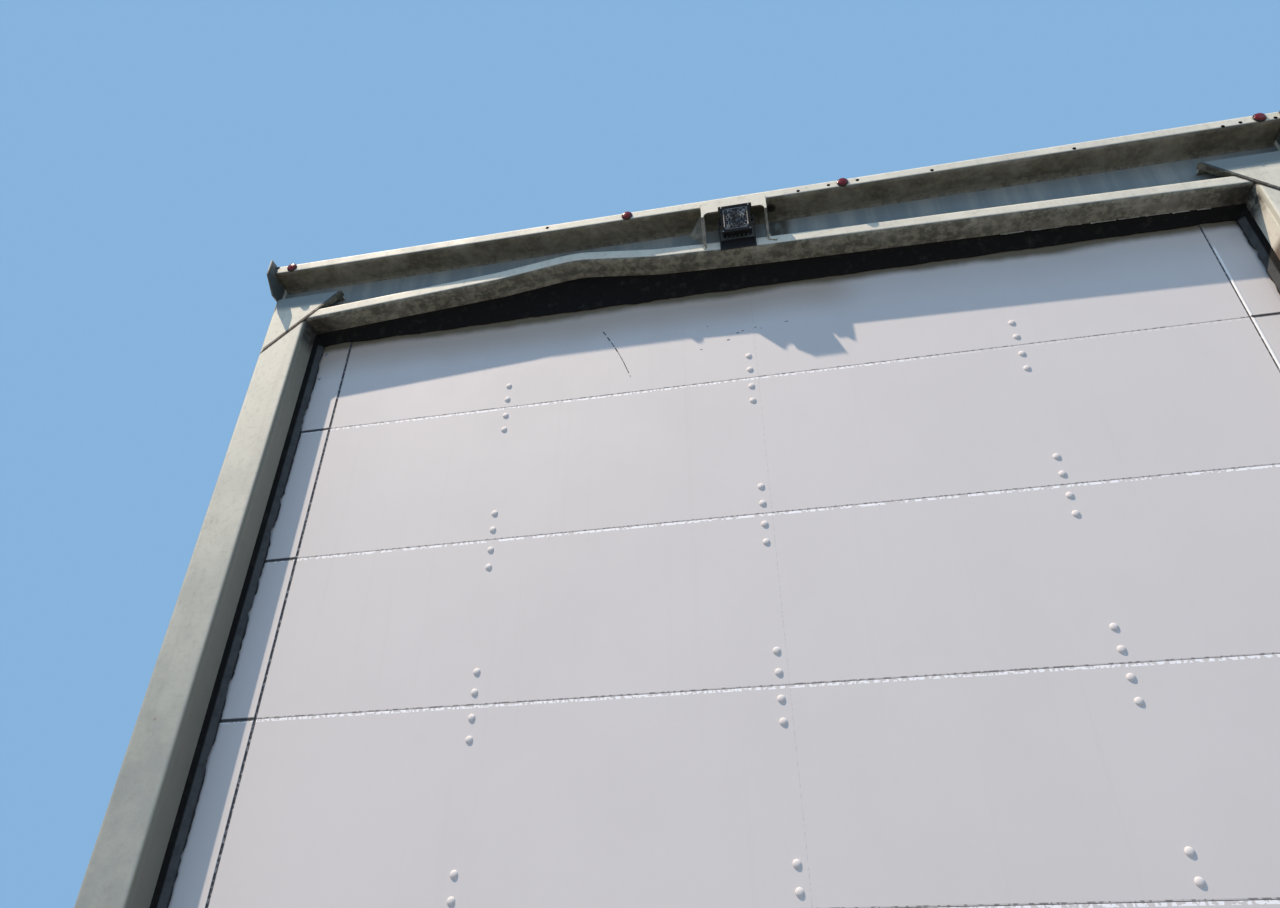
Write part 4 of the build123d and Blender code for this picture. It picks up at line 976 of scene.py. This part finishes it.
class DOORFRAME_OT_track_bolts(bpy.types.Operator):
    """Bolts of the track clips, bearing flanges and latch plate"""

    bl_idname = "doorframe.track_bolts"
    bl_label = "Track And Latch Bolts"

    def execute(self, context):
        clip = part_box("track_clips")[1].x - 0.003
        flange = (-0.025, 0.025)
        points, aims = [], []
        for side in SIDES:
            points += [(side * clip, 0.057, SKIN_LOW.z + PANEL * (number + 0.5)) for number in range(5)]
            points += [(side * SHAFT_HIGH.x, SHAFT.y + y, SHAFT.z + z) for y in flange for z in flange]
            aims += [(-side, 0, 0)] * (len(points) - len(aims))
        bolts = grown(
            "track_bolts", hex_heads_tree(), points, aims, "dull_zinc", FIXED, Radius=0.0065, Height=0.005,
            Washer=0.009)
        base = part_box("latch_plate")[0].z
        spots = [(x, -0.003, base + z) for x in (-0.047, 0.047) for z in (0.014, 0.136)]
        heads = grown(
            "latch_plate_heads", domed_heads_tree(), spots, OUT, "latch_zinc", FIXED, Radius=0.007, Height=0.003)
        return {"FINISHED"}


class DOORFRAME_OT_stage(bpy.types.Operator):
    """Floor, soft lights and the camera"""

    bl_idname = "doorframe.stage"
    bl_label = "Stage"

    def execute(self, context):
        settings = kit().stage
        colour = tuple(settings.floor_colour)
        f = Finish("studio_floor")
        f.base = f.blend(f.noise(0.6), colour, tuple(0.95 * c for c in colour))
        f.done(0.7)
        reach, below = 15.0, -0.0005
        square = [(x * reach, y * reach, below) for x, y in ((-1, -1), (1, -1), (1, 1), (-1, 1))]
        floor = mesh_piece("studio_floor", (square, [(0, 1, 2, 3)]), "studio_floor")

        scene = context.scene
        world = bpy.data.worlds.new("studio")
        world.use_nodes = True
        background = world.node_tree.nodes["Background"].inputs
        background["Color"].default_value = rgba(tuple(settings.sky))
        background["Strength"].default_value = 0.72
        scene.world = world
        scene.view_settings.view_transform = "Standard"

        aim = Vector((0.0, 0.0, 1.6))
        white = (1.0, 1.0, 1.0)
        for name, way, distance, size, share, colour in (
            ("key", Vector((-1.25, -1.0, 2.75)), 17.0, 0.19, 1.0, settings.key_colour),
            ("fill", Vector((2.0, -2.2, 0.9)), 6.0, 4.0, 0.0041, white),
            ("inside", Vector((0.3, 2.0, 1.4)), 5.0, 3.0, 0.019, white)):
            lamp = bpy.data.lights.new(name, "AREA")
            lamp.shape = "SQUARE"
            lamp.size = size
            lamp.energy = share * settings.key_power
            lamp.color = colour
            light = linked(name, lamp)
            light.location = aim + way.normalized() * distance
            light.rotation_euler = (-way).to_track_quat("-Z", "Y").to_euler()

        # The camera solved from the photo, its focal length in pixels of a picture 1280 wide
        focal, picture, sensor = 846.2, 1280, 36.0
        camera = linked("camera", bpy.data.cameras.new("camera"))
        camera.data.lens = focal / picture * sensor
        camera.data.clip_end = 100.0
        yaw, pitch, roll = (math.radians(a) for a in (-11.01, 34.42, 0.02))
        look = Vector((math.sin(yaw) * math.cos(pitch), math.cos(yaw) * math.cos(pitch), math.sin(pitch)))
        camera.location = (0.0366, -1.4832, 0.6576)
        turn = look.to_track_quat("-Z", "Y").to_matrix() @ Matrix.Rotation(roll, 3, "Z")
        camera.rotation_euler = turn.to_euler()
        scene.camera = camera
        return {"FINISHED"}


STEPS = (
    DOORFRAME_OT_finishes, DOORFRAME_OT_door_bolts, DOORFRAME_OT_door_strips, DOORFRAME_OT_seals,
    DOORFRAME_OT_rail_details, DOORFRAME_OT_marker_lamps, DOORFRAME_OT_work_lamp, DOORFRAME_OT_guard_welds,
    DOORFRAME_OT_springs, DOORFRAME_OT_drum_grooves, DOORFRAME_OT_track_bolts, DOORFRAME_OT_stage)


class DOORFRAME_PT_panel(bpy.types.Panel):
    """Lists the pieces and their settings"""

    bl_idname = "DOORFRAME_PT_panel"
    bl_label = "Door Frame"
    bl_space_type = "VIEW_3D"
    bl_region_type = "UI"
    bl_category = "Door Frame"

    def draw(self, context):
        for group in ("frame", "door", "seals", "springs", "lamps", "stage"):
            settings = getattr(kit(), group)
            for key in settings.__annotations__:
                self.layout.prop(settings, key)
        for step in STEPS:
            self.layout.operator(step.bl_idname)


CLASSES = (
    FrameSettings, DoorSettings, SealSettings, SpringSettings, LampSettings, StageSettings, DoorFrameSettings,
    *STEPS, DOORFRAME_PT_panel)


def register():
    for each in CLASSES:
        bpy.utils.register_class(each)
    bpy.types.Scene.door_frame = bpy.props.PointerProperty(type=DoorFrameSettings)


def unregister():
    del bpy.types.Scene.door_frame
    for each in reversed(CLASSES):
        bpy.utils.unregister_class(each)


def main():
    register()
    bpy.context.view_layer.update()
    for step in STEPS:
        group, name = step.bl_idname.split(".")
        getattr(getattr(bpy.ops, group), name)()


if __name__ == "__main__":
    main()
